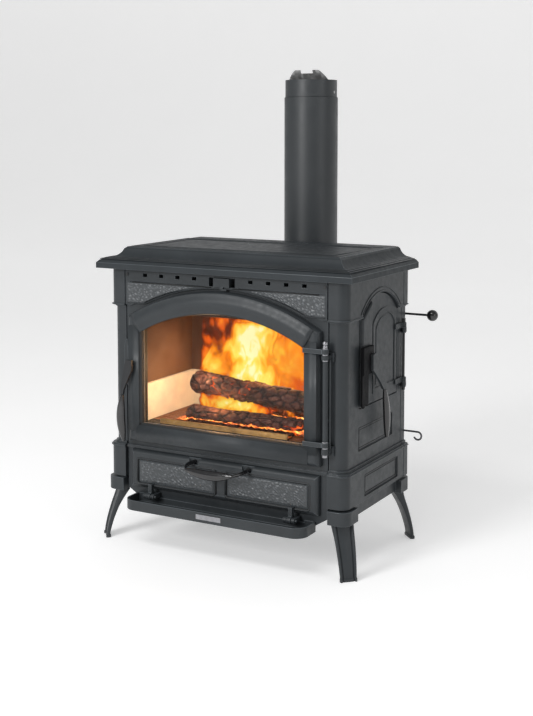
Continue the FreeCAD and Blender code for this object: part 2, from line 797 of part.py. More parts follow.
brackets = [hinge_bracket("upper_arm - 14", "upper_arm - 3"),
            hinge_bracket("lower_arm - 17", "lower_arm - 3")]
keep(fuse(*brackets), "hinge_brackets")

pin_shank = rod("z", ("pin_x", "-pin_y"), "lower_arm - 22", "upper_arm + 17", "pin_radius")
pin_collar = rod("z", ("pin_x", "-pin_y"), "upper_arm + 15", "upper_arm + 21", "6")
pin_finial = ball(("pin_x", "-pin_y", "upper_arm + 26"), "6.5")
pin_foot = rod("z", ("pin_x", "-pin_y"), "lower_arm - 24", "lower_arm - 17.3", "6.5")
keep(fuse(pin_shank, pin_collar, pin_finial, pin_foot), "hinge_pin")


def pin_ring(low, high, radius):
    ring = rod("z", ("pin_x", "-pin_y"), low, high, radius)
    return cut(ring, rod("z", ("pin_x", "-pin_y"), f"{low} - 1", f"{high} + 1", "pin_radius + running_gap"))


tube = pin_ring("lower_arm + arm_height + 3", "upper_arm - 17", "6")
washers = [
    pin_ring("lower_arm - 2.7", "lower_arm - 0.3", "7.5"),
    pin_ring("lower_arm + arm_height + 0.3", "lower_arm + arm_height + 2.8", "7.5"),
    pin_ring("upper_arm - 16.8", "upper_arm - 14.2", "7.5"),
    pin_ring("upper_arm - 2.7", "upper_arm - 0.3", "7.5"),
    pin_ring("upper_arm + arm_height + 0.3", "upper_arm + arm_height + 2.8", "7.5"),
]
keep(fuse(*washers), "hinge_washers")
wire = rod("z", ("pin_x + 10.5", "-pin_y + 7"), "lower_arm - 3", "upper_arm - 14", "1.6")
wire_clip = rod("x", ("-pin_y + 7", "lower_arm + 66"), "pin_x + 6.2", "pin_x + 12.5", "1.6")
keep(fuse(tube, wire, wire_clip), "hinge_tube")

# Keeper on the front plate, beside the door's free edge.
keeper = new_body("latch_keeper")
pad(keeper, "YZ_Plane",
    [[("-front_face", "keeper_bottom"), ("-front_face - 10", "keeper_bottom"),
      ("-front_face - 15", "keeper_bottom + 8"), ("-front_face - 15", "keeper_top - 16"),
      ("-front_face - 7", "keeper_top"), ("-front_face", "keeper_top")]],
    "-joint_x", "-door_half - 2")
keep(keeper, "latch_keeper")


# how far along the grip, and how much of its full width it has there
LEAF = [(0.0, 0.34), (0.12, 0.62), (0.3, 0.9), (0.5, 1.0), (0.7, 0.94), (0.88, 0.66), (1.0, 0.3)]
GRIP_WIDTH, GRIP_THICK = 25, 17


def leaf(top, bottom, across, bulge):
    """A leaf-shaped grip between two points, widest a little below the middle."""
    run = bottom - top
    depth = run.normalize().cross(across)
    sections = []
    for share, fullness in LEAF:
        middle = top + (bottom - top) * share + across * (bulge * math.sin(math.pi * share))
        half_width = GRIP_WIDTH / 2 * fullness
        half_thick = GRIP_THICK / 2 * (0.35 + 0.65 * fullness)
        wide, deep = middle + across * half_width, middle + depth * half_thick
        if half_width >= half_thick:
            oval = Part.Ellipse(wide, deep, middle)
        else:
            oval = Part.Ellipse(deep, wide, middle)
        sections.append(Part.Wire([oval.toShape()]))
    return Part.makeLoft(sections, True, False)


grip_top = Vector(-284, -214, size("latch_z - 81"))
grip_end = Vector(-280, -214, size("latch_z - 202"))
shaped("handle_grip", leaf(grip_top, grip_end, Vector(-1, 0, 0), 7))
handle_arm = new_body("handle_arm_plate")
pad(handle_arm, "XZ_Plane",
    [[("-latch_x + 10", "latch_z + 13"), ("-latch_x + 10", "latch_z - 12"), ("-278", "latch_z - 68"),
      ("-280", "latch_z - 80.5"), ("-288", "latch_z - 80.5"), ("-284", "latch_z - 40"),
      ("-latch_x - 9", "latch_z + 13")]],
    "-door_front - 18", "-door_front - 10")
spindle = rod("y", ("-latch_x", "latch_z"), "-door_front - 10", "-door_back - 0.5", "7")
keep(fuse(handle_arm, spindle), "handle_arm")

# ---------------------------------------------------------------- ash door
ash_door = new_body("ash_door")
edges = [(rectangle("-ash_half", "ash_bottom", "ash_half", "ash_top"), "-door_back")]
for inset, depth in MOULDING[:-1]:
    shape = rectangle(f"-ash_half + {inset}", f"ash_bottom + {inset}", f"ash_half - {inset}",
                      f"ash_top - {inset}")
    edges.append((shape, f"-ash_front + {depth} * 0.9 - 1.17"))
loft(ash_door, "XZ_Plane", edges)
pocket(ash_door, "XZ_Plane", [rectangle("-ash_half + 24", "ash_bottom + 13", "ash_half - 24",
                                        "ash_top - 22")],
       "-ash_front - 1", "-ash_front + 3")
panels = [rectangle("-ash_half + 28", "ash_bottom + 17", "-20", "ash_top - 27"),
          rectangle("20", "ash_bottom + 17", "ash_half - 28", "ash_top - 27")]
pad(ash_door, "XZ_Plane", panels, "-ash_front + 0.8", "-ash_front + 3")
notches = [[("-78 - 12", "ash_top - 16"), ("-78 + 12", "ash_top - 16"), ("-78 + 18", "ash_top + 1"),
            ("-78 - 18", "ash_top + 1")],
           [("78 - 12", "ash_top - 16"), ("78 + 12", "ash_top - 16"), ("78 + 18", "ash_top + 1"),
            ("78 - 18", "ash_top + 1")]]
pocket(ash_door, "XZ_Plane", notches, "-ash_front - 1", "-ash_front + 8")
keep(ash_door, "ash_door")

straps = []
for hand in (-1, 1):
    low, high = f"{hand} * strap_x - 5", f"{hand} * strap_x + 5"
    upright = box(low, "-ash_pin_y + 1", "ash_pin_z", high, "-ash_front", "ash_bottom + 17")
    eye = rod("x", ("-ash_pin_y", "ash_pin_z"), low, high, "9")
    bore = rod("x", ("-ash_pin_y", "ash_pin_z"), f"{low} - 1", f"{high} + 1", "3.5 + running_gap")
    straps.append(cut(fuse(upright, eye), bore))
keep(fuse(*straps), "ash_straps")

lugs = []
for hand in (-1, 1):
    lugs.append(rod("x", ("-ash_pin_y", "ash_pin_z"), f"{hand} * strap_x - 20",
                    f"{hand} * strap_x + 20", "3.5"))
    for side in (-1, 1):
        middle = f"{hand} * strap_x + {side} * 11"
        low, high = f"{middle} - 4.5", f"{middle} + 4.5"
        lugs.append(box(low, "-ash_pin_y", "ash_pin_z - 6", high, "-front_face", "ash_pin_z + 6"))
        lugs.append(rod("x", ("-ash_pin_y", "ash_pin_z"), low, high, "7.5"))
keep(fuse(*lugs), "ash_lugs")

BOW_REACH = 55
bow_y, bow_z = -size("ash_front") - BOW_REACH, 228
KNEE_REACH, FOOT_DEPTH, POST_X = 22, 8, 78
bow = leaf(Vector(-68, bow_y, bow_z + 5), Vector(68, bow_y, bow_z + 5), Vector(0, 0, -1), 7)
for hand in (-1, 1):
    post_y, post_z = -size("ash_front"), size("ash_top") - 10
    stations = (
        (Vector(hand * POST_X, post_y + FOOT_DEPTH, post_z), Vector(0, -1, 0), 5.5),
        (Vector(hand * (POST_X + 4), post_y - KNEE_REACH, post_z - 1), Vector(-hand * 0.2, -1, 0), 5),
        (Vector(hand * 67.8, bow_y, bow_z + 5), Vector(-hand, 0, 0), 3.4),
    )
    rings = [Part.Wire([Part.Circle(spot, facing, half).toShape()]) for spot, facing, half in stations]
    bow = bow.fuse(Part.makeLoft(rings, True, False))
shaped("ash_handle", bow)

# ---------------------------------------------------------------- front tray
tray = new_body("tray_pan")


def tray_outline(inset):
    side, front = f"tray_half - {inset}", f"-tray_front + {inset}"
    bend, radius = f"(tray_round - {inset}) * 0.29289", f"tray_round - {inset}"
    back = "-front_face" if inset == 0 else "-front_face - sheet_thick"
    corners = [(f"-({side})", back), (f"-({side})", f"{front} + {radius}"), (f"-({side}) + {radius}", front),
               (f"{side} - ({radius})", front), (side, f"{front} + {radius}"), (side, back)]
    arcs = {1: (f"-({side}) + {bend}", f"{front} + {bend}"), 3: (f"{side} - {bend}", f"{front} + {bend}")}
    return corners, arcs


pad(tray, "XY_Plane", [tray_outline(0)], "tray_bottom", "tray_top - 11")
pad(tray, "XY_Plane", [tray_outline(0), tray_outline(5)], "tray_top - 11", "tray_top")
pocket(tray, "XY_Plane", [tray_outline(5)], "tray_bottom + sheet_thick", "tray_top - 5")
pocket(tray, "XY_Plane", [rectangle("-tray_half + 30", "-front_face - 6", "tray_half - 30",
                                    "-front_face + 1")],
       "ash_pin_z - 9", "tray_top + 1")
tray_roll = cut(rod("x", ("-ash_pin_y - 8", "tray_bottom + sheet_thick"), "-tray_half + 8",
                    "tray_half - 8", "9"),
                box("-tray_half", "-ash_pin_y - 20", "tray_bottom - 10", "tray_half", "-ash_pin_y + 20",
                    "tray_bottom + sheet_thick"))
keep(fuse(tray, tray_roll), "front_tray")
keep(box("-36", "-tray_front - 1", "tray_bottom + 8", "36", "-tray_front", "tray_top - 6"), "blank_plate")

# ---------------------------------------------------------------- air slider
slider = new_body("air_slider")
openings = []
for side in (-1, 1):
    for number in range(4):
        middle = f"{side} * (vent_first + {number} * vent_step)"
        openings.append(rectangle(f"{middle} - 7", "vent_z - 5", f"{middle} + 7", "vent_z + 5"))
pad(slider, "XZ_Plane", [rectangle("-258", "vent_z - 9", "258", "vent_z + 8")] + openings,
    "-plate_back + 0.3", "-plate_back + 3.3")
keep(slider, "air_slider")
slider_knob = new_body("slider_knob")
pad(slider_knob, "XZ_Plane", [rectangle("-23", "690.5", "23", "712")],
    "-front_face - frieze_proud - 4", "-plate_back - 0.3")
pad(slider_knob, "XZ_Plane", [rectangle("-14", "vent_z - 6", "14", "vent_z + 4")],
    "-plate_back - 0.3", "-plate_back + 0.3")
tongue = [("-4", "690.5"), ("-4", "686"), ("2", "681.5"), ("16", "681.5"), ("16", "685"), ("6", "686"),
          ("6", "690.5")]
pad(slider_knob, "XZ_Plane", [tongue], "-front_face - frieze_proud - 5", "-front_face - frieze_proud - 0.5")
keep(slider_knob, "slider_knob")
guides = [box("-266", "-plate_back", "vent_z - 14", "266", "-plate_back + 7", "vent_z - 9.4"),
          box("-266", "-plate_back", "vent_z + 8.4", "266", "-plate_back + 7", "vent_z + 12")]
keep(fuse(*guides), "slider_guides")

# Slotted screws that hold the front plate.
screws = []
for hand in (-1, 1):
    spot = (f"{hand} * (joint_x - 6)", "vent_z")
    face = "-front_face - frieze_proud"
    head = rod("y", spot, f"{face} - 2.2", face, "4.4")
    slot = box(f"{hand} * (joint_x - 6) - 5", f"{face} - 3", "vent_z - 0.6", f"{hand} * (joint_x - 6) + 5",
               f"{face} - 1.2", "vent_z + 0.6")
    screws.append(cut(head, slot))
keep(fuse(*screws), "plate_screws")

# ---------------------------------------------------------------- side loading door
side_door = new_body("side_door")
pad(side_door, "YZ_Plane",
    [arched("-port_front + port_gap", "port_bottom + port_gap", "port_rear - port_gap", "port_spring",
            "port_crown - port_gap")],
    "side_face - wall_thick + 1.5", "side_face")
roll = [("-port_front + 6", "port_bottom + 6"), ("-port_front + 66", "port_bottom + 6"),
        ("-port_front + 66", "port_spring + 39"), ("-port_front + 6", "port_spring - 1")]
pad(side_door, "YZ_Plane", [roll], "side_face", "side_face + 7")
soften(side_door, on_plane("X", "side_face + 7"), "6.8")
frame_ring = [arched("-15", "port_bottom + 25", "131", "port_spring - 21", "port_crown - 43"),
              arched("-3", "port_bottom + 37", "119", "port_spring - 29", "port_crown - 55")]
pad(side_door, "YZ_Plane", frame_ring, "side_face", "side_face + 2.2")
inner_panel = arched("5", "port_bottom + 45", "111", "port_spring - 36", "port_crown - 63")
pad(side_door, "YZ_Plane", [inner_panel], "side_face", "side_face + 1.4")
keep(side_door, "side_door")


def side_arm(level):
    strap = box("side_face + 2.2", "118", level, "side_face + 6.5", "side_pin_y", f"{level} + 13")
    eye = rod("z", ("side_pin_x", "side_pin_y"), level, f"{level} + 13", "7")
    foot = box("side_face", "131.2", level, "side_face + 3", "port_rear - port_gap", f"{level} + 13")
    bore = rod("z", ("side_pin_x", "side_pin_y"), f"{level} - 1", f"{level} + 14",
               "side_pin_radius + running_gap")
    return cut(fuse(strap, eye, foot), bore)


def side_bracket(low, high):
    eye = rod("z", ("side_pin_x", "side_pin_y"), low, high, "6.5")
    web = box("side_face", "rear_joint + joint_gap", low, "side_pin_x + 2",
              "rear_joint + joint_gap + 12", high)
    neck = box("side_pin_x - 5", "side_pin_y", low, "side_pin_x + 2", "rear_joint + joint_gap + 4", high)
    bore = rod("z", ("side_pin_x", "side_pin_y"), f"{low} - 1", f"{high} + 1",
               "side_pin_radius + running_gap")
    return cut(fuse(eye, web, neck), bore)


keep(fuse(side_arm("side_lower_arm"), side_arm("side_upper_arm")), "side_hinge_arms")
keep(fuse(side_bracket("side_lower_arm - 14", "side_lower_arm - 0.5"),
          side_bracket("side_upper_arm - 14", "side_upper_arm - 0.5")), "side_hinge_brackets")
side_axis = ("side_pin_x", "side_pin_y")
side_shank = rod("z", side_axis, "side_lower_arm - 17", "side_upper_arm + 20", "side_pin_radius")
side_cap = rod("z", side_axis, "side_upper_arm + 13.5", "side_upper_arm + 24", "4.6")
side_foot = rod("z", side_axis, "side_lower_arm - 21", "side_lower_arm - 14.4", "4.6")
keep(fuse(side_shank, side_cap, side_foot), "side_hinge_pin")

# The latch housing has a flat drop bar below it, over the gap at the side door's free edge.
housing = box("side_face + 7", "-port_front - 6", "side_latch_z - 27", "side_face + 16", "-port_front + 52",
              "side_latch_z + 41")
drop_bar = new_body("drop_bar")
pad(drop_bar, "YZ_Plane",
    [[("-port_front - 6", "side_latch_z - 26"), ("-port_front - 6", "side_latch_z - 103"),
      ("-port_front + 2", "side_latch_z - 110"), ("-port_front + 30", "side_latch_z - 101"),
      ("-port_front + 30", "side_latch_z - 26")]],
    "side_face + 7", "side_face + 12")
housing_bore = rod("x", ("-side_latch_y", "side_latch_z"), "side_face + 6", "side_face + 17",
                   "6 + running_gap")
keep(cut(fuse(housing, drop_bar), housing_bore), "side_latch_housing")
side_spindle = rod("x", ("-side_latch_y", "side_latch_z"), "side_face + 7.5", "side_face + 17", "6")
side_arm_plate = new_body("side_arm_plate")
pad(side_arm_plate, "YZ_Plane",
    [[("-side_latch_y - 9", "side_latch_z - 18"), ("-side_latch_y - 9", "side_latch_z + 20"),
      ("-side_latch_y + 10", "side_latch_z + 22"), ("26", "side_latch_z - 72"),
      ("16", "side_latch_z - 78.5"), ("6", "side_latch_z - 78.5"), ("-side_latch_y + 30",
                                                                    "side_latch_z - 50")]],
    "side_face + 17", "side_face + 24")
keep(fuse(side_arm_plate, side_spindle), "side_handle_arm")
grip_top = Vector(size("side_face + 22"), 13, size("side_latch_z - 79"))
grip_end = Vector(size("side_face + 22"), 27, size("side_latch_z - 204"))
shaped("side_handle_grip", leaf(grip_top, grip_end, Vector(0, 1, 0), 6))

# ---------------------------------------------------------------- flue
gate_case = cut(
    box("-gate_left", "rear_face", "flue_z - 92", "gate_right", "rear_face + 12", "flue_z + 92"),
    fuse(
        box("-gate_left + 5", "rear_face + 2.5", "flue_z - 87", "gate_right - 5", "rear_face + 9.5",
            "flue_z + 87"),
        rod("y", ("0", "flue_z"), "rear_face - 1", "rear_face + 13", "pipe_radius - 5"),
        rod("x", ("gate_y", "flue_z"), "gate_right - 16", "gate_right + 1", "3 + running_gap")))
keep(gate_case, "gate_case")
gate_plate = box("20", "gate_y - 1.5", "flue_z - 84", "164", "gate_y + 1.5", "flue_z + 84")
gate_rod = rod("x", ("gate_y", "flue_z"), "150", "ball_x - 12", "3")
keep(fuse(gate_plate, gate_rod), "gate_rod")
keep(cut(ball(("ball_x", "gate_y", "flue_z"), "15"),
         rod("x", ("gate_y", "flue_z"), "ball_x - 16", "ball_x - 12", "3")),
     "gate_knob")

upright_outer = rod("z", ("0", "flue_y"), "flue_z - 110", "flue_z + 110", "pipe_radius")
branch_outer = rod("y", ("0", "flue_z"), "rear_face + 12", "flue_y", "branch_radius")
upright_inner = rod("z", ("0", "flue_y"), "flue_z - 111", "flue_z + 111", "pipe_radius - pipe_wall")
branch_inner = rod("y", ("0", "flue_z"), "rear_face + 11", "flue_y", "branch_radius - pipe_wall")
keep(cut(fuse(upright_outer, branch_outer), fuse(upright_inner, branch_inner)), "flue_tee")
cap_outer = rod("z", ("0", "flue_y"), "flue_z - 122", "flue_z - 98", "pipe_radius + 2.5")
cap_inner = rod("z", ("0", "flue_y"), "flue_z - 110", "flue_z - 97", "pipe_radius")
cap_knob = rod("z", ("0", "flue_y"), "flue_z - 140", "flue_z - 122", "8")
keep(fuse(cut(cap_outer, cap_inner), cap_knob), "flue_cap")
pipe = cut(rod("z", ("0", "flue_y"), "flue_z + 110", "pipe_top", "pipe_radius"),
           rod("z", ("0", "flue_y"), "flue_z + 109", "pipe_top + 1", "pipe_radius - pipe_wall"))
keep(pipe, "flue_pipe")
# The collar is full size above the pipe's rim, and a narrower sleeve inside the pipe.
collar_outside = fuse(
    rod("z", ("0", "flue_y"), "pipe_top + 1", "collar_top", "collar_radius"),
    rod("z", ("0", "flue_y"), "pipe_top - 60", "pipe_top + 1", "sleeve_radius"))
collar_inside = fuse(
    rod("z", ("0", "flue_y"), "pipe_top + 4", "collar_top + 1", "collar_radius - pipe_wall"),
    rod("z", ("0", "flue_y"), "pipe_top - 61", "collar_top", "sleeve_radius - sleeve_wall"))
spindle_holes = rod("x", ("flue_y", "damper_z"), "-collar_radius - 1", "collar_radius + 1", "4 + running_gap")
collar = cut(collar_outside, collar_inside, spindle_holes)
keep(collar, "flue_collar")

DAMPER_HALF_WIDTH, DAMPER_HALF_LENGTH, DAMPER_FLAT = 69, 80, 68
NOTCH_HALF_WIDTH, NOTCH_DEPTH, DAMPER_THICK = 18.5, 10, 1.5
oval = Part.Ellipse(Vector(0, DAMPER_HALF_LENGTH, 0), Vector(DAMPER_HALF_WIDTH, 0, 0), Vector(0, 0, 0))
disc = Part.Face(Part.Wire([oval.toShape()])).extrude(Vector(0, 0, DAMPER_THICK))
trim = Part.makeBox(200, 2 * DAMPER_FLAT, 10, Vector(-100, -DAMPER_FLAT, -5))
notch = Part.makeBox(2 * NOTCH_HALF_WIDTH, NOTCH_DEPTH + 20, 10,
                     Vector(-NOTCH_HALF_WIDTH, -DAMPER_FLAT - 20, -5))
disc = disc.common(trim).cut(notch)
disc.translate(Vector(0, 0, -DAMPER_THICK / 2))
saddle = Part.makeBox(60, 16, 5, Vector(-30, -8, -2.5))
half_span = size("collar_radius - 0.5")
spindle = Part.makeCylinder(4, 2 * half_span, Vector(-half_span, 0, 0), Vector(1, 0, 0))
disc = disc.fuse(saddle).fuse(spindle)
disc.rotate(Vector(0, 0, 0), Vector(1, 0, 0), -size("damper_tilt"))
disc.translate(Vector(0, size("flue_y"), size("damper_z")))
shaped("damper_plate", disc)

# Rear air inlet with its shutter and wire pull.
inlet = cut(
    box("-inlet_left", "rear_face", "wire_z - 32", "inlet_right", "rear_face + 12", "wire_z + 32"),
    fuse(
        box("-inlet_left + 4", "rear_face + 2.5", "wire_z - 28", "inlet_right - 4", "rear_face + 9.5",
            "wire_z + 28"),
        box("-40", "rear_face - 1", "wire_z - 20", "40", "rear_face + 13", "wire_z + 20"),
        rod("x", ("gate_y", "wire_z"), "inlet_right - 10", "inlet_right + 1", "2.5 + running_gap")))
keep(inlet, "air_inlet")
shutter = Part.makeBox(92, 3, 52, Vector(-46, size("gate_y - 1.5"), size("wire_z - 26")))
LOOP_RADIUS, WIRE_RADIUS, LOOP_X = 10.5, 2.5, 374
wire_run = Part.LineSegment(Vector(46, size("gate_y"), size("wire_z")),
                            Vector(LOOP_X, size("gate_y"), size("wire_z")))
loop_middle = Vector(LOOP_X, size("gate_y"), size("wire_z") - LOOP_RADIUS)


def loop_point(degrees):
    angle = math.radians(degrees)
    return loop_middle + Vector(LOOP_RADIUS * math.cos(angle), 0, LOOP_RADIUS * math.sin(angle))


curl = Part.Arc(loop_point(90), loop_point(-35), loop_point(-160))
path = Part.Wire([wire_run.toShape(), curl.toShape()])
section = Part.Wire([Part.Circle(Vector(46, size("gate_y"), size("wire_z")), Vector(1, 0, 0),
                                 WIRE_RADIUS).toShape()])
shaped("wire_pull", path.makePipeShell([section], True, True).fuse(shutter))

# ---------------------------------------------------------------- checks and files
doc.recompute()
faults = []
for obj in doc.Objects:
    if any(word in obj.State for word in ("Invalid", "Error")):
        faults.append(f"{obj.Name} ({obj.Label}) is {obj.State}")
for piece in pieces:
    if piece.Shape.isNull() or not piece.Shape.isValid() or not piece.Shape.Solids:
        faults.append(f"{piece.Label} has no valid solid")
if faults:
    raise RuntimeError("; ".join(faults))

os.makedirs("parts", exist_ok=True)
overall = FreeCAD.BoundBox()
for piece in pieces:
    piece.Shape.exportStep(f"parts/{piece.Label}.step")
    overall.add(piece.Shape.BoundBox)
    print(piece.Label, len(piece.Shape.Solids), round(piece.Shape.Volume))
print("pieces", len(pieces))
print("box", overall)
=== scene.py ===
"""Wood burning stove: finishes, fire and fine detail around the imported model.

The stove's lengths are millimetres from the middle of its top plate, on the floor, and at()
turns them into metres in the model's own frame. The camera, the studio lights and the floor
are in metres, and the scale of a pattern in a material is how often it repeats in a metre.
"""
import math

import bmesh
import bpy
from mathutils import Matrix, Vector, noise


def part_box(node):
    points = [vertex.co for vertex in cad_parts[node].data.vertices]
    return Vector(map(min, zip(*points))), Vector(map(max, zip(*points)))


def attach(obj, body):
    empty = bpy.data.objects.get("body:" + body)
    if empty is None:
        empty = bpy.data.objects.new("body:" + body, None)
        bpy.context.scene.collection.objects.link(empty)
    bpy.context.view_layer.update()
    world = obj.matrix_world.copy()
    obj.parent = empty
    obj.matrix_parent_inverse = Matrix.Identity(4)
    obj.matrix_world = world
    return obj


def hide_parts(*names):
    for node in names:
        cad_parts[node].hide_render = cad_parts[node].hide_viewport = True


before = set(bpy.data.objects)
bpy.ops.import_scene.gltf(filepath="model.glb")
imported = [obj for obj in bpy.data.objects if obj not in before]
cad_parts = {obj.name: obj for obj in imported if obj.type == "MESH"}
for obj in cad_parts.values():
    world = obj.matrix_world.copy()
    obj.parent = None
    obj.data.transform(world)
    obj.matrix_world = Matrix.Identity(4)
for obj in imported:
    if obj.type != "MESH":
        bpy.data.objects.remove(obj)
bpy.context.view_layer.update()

MM = 0.001
SIDES = (("left", -1), ("right", 1))
plate_low, plate_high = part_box("top_plate")
MIDDLE = Vector(((plate_low.x + plate_high.x) / 2, (plate_low.y + plate_high.y) / 2, 0))


def at(x, y, z):
    """A point of the model's frame, in metres, from millimetres about the stove's middle."""
    return MIDDLE + Vector((x, y, z)) * MM


def span(node):
    """A node's low and high corners in millimetres about the stove's middle."""
    low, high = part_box(node)
    return (low - MIDDLE) / MM, (high - MIDDLE) / MM


def add_object(name, data):
    made = bpy.data.objects.new(name, data)
    bpy.context.scene.collection.objects.link(made)
    return made


# ---------------------------------------------------------------- camera and light
CAMERA_PLACE = (1.563, -2.8756, 1.0755)
CAMERA_YAW, CAMERA_PITCH = 29.038, 5.0
CAMERA_LENS, CAMERA_SHIFT = 62.268, -0.1638
WORLD_STRENGTH = 0.33

# name, place, the point it is aimed at, width and height, and power in watts
STUDIO_LIGHTS = [
    ("key", (-1.15, -4.4, 2.2), (0, 0, 0.5), (1.3, 1.3), 106),
    ("side", (3.8, -1.0, 1.5), (0, 0, 0.6), (1.6, 1.8), 14),
    ("top", (-0.2, -2.6, 3.7), (0, 0, 0.7), (2.4, 0.9), 48),
]
# name, place and radius in the stove's millimetres, power in watts, and colour
FIRE_LIGHTS = [
    ("fire_core", (60, -10, 480), 55, 2.6, (1.0, 0.52, 0.2)),
    ("fire_left", (-120, -60, 430), 40, 1.0, (1.0, 0.62, 0.32)),
    ("fire_low", (-60, -118, 385), 20, 0.35, (1.0, 0.5, 0.18)),
]


def add_camera():
    camera = add_object("camera", bpy.data.cameras.new("camera"))
    camera.data.lens = CAMERA_LENS
    camera.data.shift_y = CAMERA_SHIFT
    camera.location = CAMERA_PLACE
    camera.rotation_euler = (math.radians(90 - CAMERA_PITCH), 0, math.radians(CAMERA_YAW))
    bpy.context.scene.camera = camera


def add_lamp(name, kind, place, power):
    data = bpy.data.lights.new(name, kind)
    data.energy = power
    lamp = add_object(name, data)
    lamp.location = place
    return lamp


def add_studio_lights():
    for name, place, target, size, power in STUDIO_LIGHTS:
        lamp = add_lamp(name, "AREA", place, power)
        lamp.data.shape = "RECTANGLE"
        lamp.data.size, lamp.data.size_y = size
        aim = Vector(target) - Vector(place)
        lamp.rotation_euler = aim.to_track_quat("-Z", "Y").to_euler()


def add_fire_lights():
    for name, place, radius, power, colour in FIRE_LIGHTS:
        lamp = add_lamp(name, "POINT", at(*place), power)
        lamp.data.shadow_soft_size = radius * MM
        lamp.data.color = colour


def add_world():
    world = bpy.data.worlds.new("studio")
    world.use_nodes = True
    background = world.node_tree.nodes["Background"]
    background.inputs["Color"].default_value = (1.0, 1.0, 1.0, 1)
    background.inputs["Strength"].default_value = WORLD_STRENGTH
    bpy.context.scene.world = world
    bpy.context.scene.view_settings.view_transform = "Standard"


# ---------------------------------------------------------------- materials
def shaded(colour, factor):
    """A colour made darker or lighter by a factor."""
    return tuple(channel * factor for channel in colour)


class Finish:
    """A Principled material and short ways to feed it from procedural patterns."""

    def __init__(self, name, colour, rough, metal=0.0):
        self.material = bpy.data.materials.new(name)
        self.material.use_nodes = True
        self.tree = self.material.node_tree
        self.shader = self.tree.nodes["Principled BSDF"]
        self.colour = colour
        self.set("Base Color", (*colour, 1))
        self.set("Roughness", rough)
        self.set("Metallic", metal)
        self.place = self.tree.nodes.new("ShaderNodeTexCoord").outputs["Object"]

    def set(self, socket, value):
        self.shader.inputs[socket].default_value = value

    def wire(self, output, socket):
        self.tree.links.new(output, self.shader.inputs[socket])

    def node(self, kind, inputs=(), **settings):
        made = self.tree.nodes.new(kind)
        for key, value in settings.items():
            setattr(made, key, value)
        for key, value in dict(inputs).items():
            if isinstance(value, bpy.types.NodeSocket):
                self.tree.links.new(value, made.inputs[key])
            else:
                made.inputs[key].default_value = value
        return made

    def stretched(self, scale, shift=(0, 0, 0)):
        """The object's coordinates, scaled along each axis and then shifted."""
        inputs = {"Vector": self.place, "Scale": scale, "Location": shift}
        return self.node("ShaderNodeMapping", inputs).outputs["Vector"]

    def noise(self, scale, detail=2.0, roughness=0.5, vector=None, distortion=0.0):
        made = self.node("ShaderNodeTexNoise", {
            "Vector": vector or self.place, "Scale": scale, "Detail": detail,
            "Roughness": roughness, "Distortion": distortion})
        return made.outputs["Fac"]

    def cells(self, scale):
        return self.node("ShaderNodeTexVoronoi", {"Vector": self.place, "Scale": scale}).outputs

    def ramp(self, factor, stops, interpolation="LINEAR"):
        made = self.node("ShaderNodeValToRGB", {"Fac": factor})
        made.color_ramp.interpolation = interpolation
        elements = made.color_ramp.elements
        while len(elements) < len(stops):
            elements.new(0.5)
        for element, (position, colour) in zip(elements, stops):
            element.position = position
            element.color = (*colour, 1)
        return made.outputs["Color"]

    def ranged(self, factor, low, high, start=0.0, stop=1.0):
        """A factor's start to stop turned into low to high."""
        made = self.node("ShaderNodeMapRange", {
            "Value": factor, "From Min": start, "From Max": stop, "To Min": low, "To Max": high})
        return made.outputs["Result"]

    def maths(self, operation, first, second):
        return self.node("ShaderNodeMath", {0: first, 1: second}, operation=operation).outputs[0]

    def attribute(self, name):
        return self.node("ShaderNodeAttribute", attribute_name=name).outputs["Fac"]

    def mottle(self, scale, dark, light, detail=3.0):
        """Colour that drifts between shades of the base colour."""
        stops = [(0.3, shaded(self.colour, dark)), (0.7, shaded(self.colour, light))]
        self.wire(self.ramp(self.noise(scale, detail, 0.6), stops), "Base Color")

    def rough_between(self, scale, low, high):
        self.wire(self.ranged(self.noise(scale, 3.0, 0.6), low, high, 0.3, 0.7), "Roughness")

    def glow(self, colour, strength):
        self.wire(colour, "Emission Color")
        self.set("Emission Strength", strength)

    def bump(self, *layers):
        """Stacked bumps, each (height output, distance in millimetres, strength)."""
        normal = None
        for height, distance, strength in layers:
            inputs = {"Height": height, "Distance": distance * MM, "Strength": strength}
            if normal is not None:
                inputs["Normal"] = normal
            normal = self.node("ShaderNodeBump", inputs).outputs["Normal"]
        self.wire(normal, "Normal")


def cast_paint(name, colour, rough, grain=0.35, specular=0.32):
    """Matt stove paint over sand-cast iron: fine grain, faint waviness and uneven sheen."""
    finish = Finish(name, colour, rough)
    finish.mottle(9, 0.88, 1.12)
    finish.rough_between(60, rough - 0.09, rough + 0.08)
    waves, sand = finish.noise(38, 2.0), finish.noise(650, 3.0, 0.65)
    finish.bump((waves, 1.2, 0.12), (sand, 0.35, grain))
    finish.set("Specular IOR Level", specular)
    return finish.material


def hammered_paint(name, dent_shade_colour, crest_highlight_colour, rough):
    """Stove paint over a hammered skin, its dents and crests painted with shade and highlight."""
    finish = Finish(name, crest_highlight_colour, rough)
    stops = [(0.15, dent_shade_colour), (0.75, crest_highlight_colour)]
    finish.wire(finish.ramp(finish.attribute("relief_shading"), stops), "Base Color")
    finish.rough_between(300, rough - 0.08, rough + 0.1)
    finish.bump((finish.noise(500, 3.0, 0.6), 0.4, 0.3))
    return finish.material


def steel_paint(name, colour, rough):
    """Sprayed sheet steel: smoother than the castings, with a slight orange-peel."""
    finish = Finish(name, colour, rough)
    finish.mottle(6, 0.92, 1.08)
    finish.rough_between(25, rough - 0.06, rough + 0.06)
    finish.bump((finish.noise(420, 2.0), 0.12, 0.25))
    return finish.material


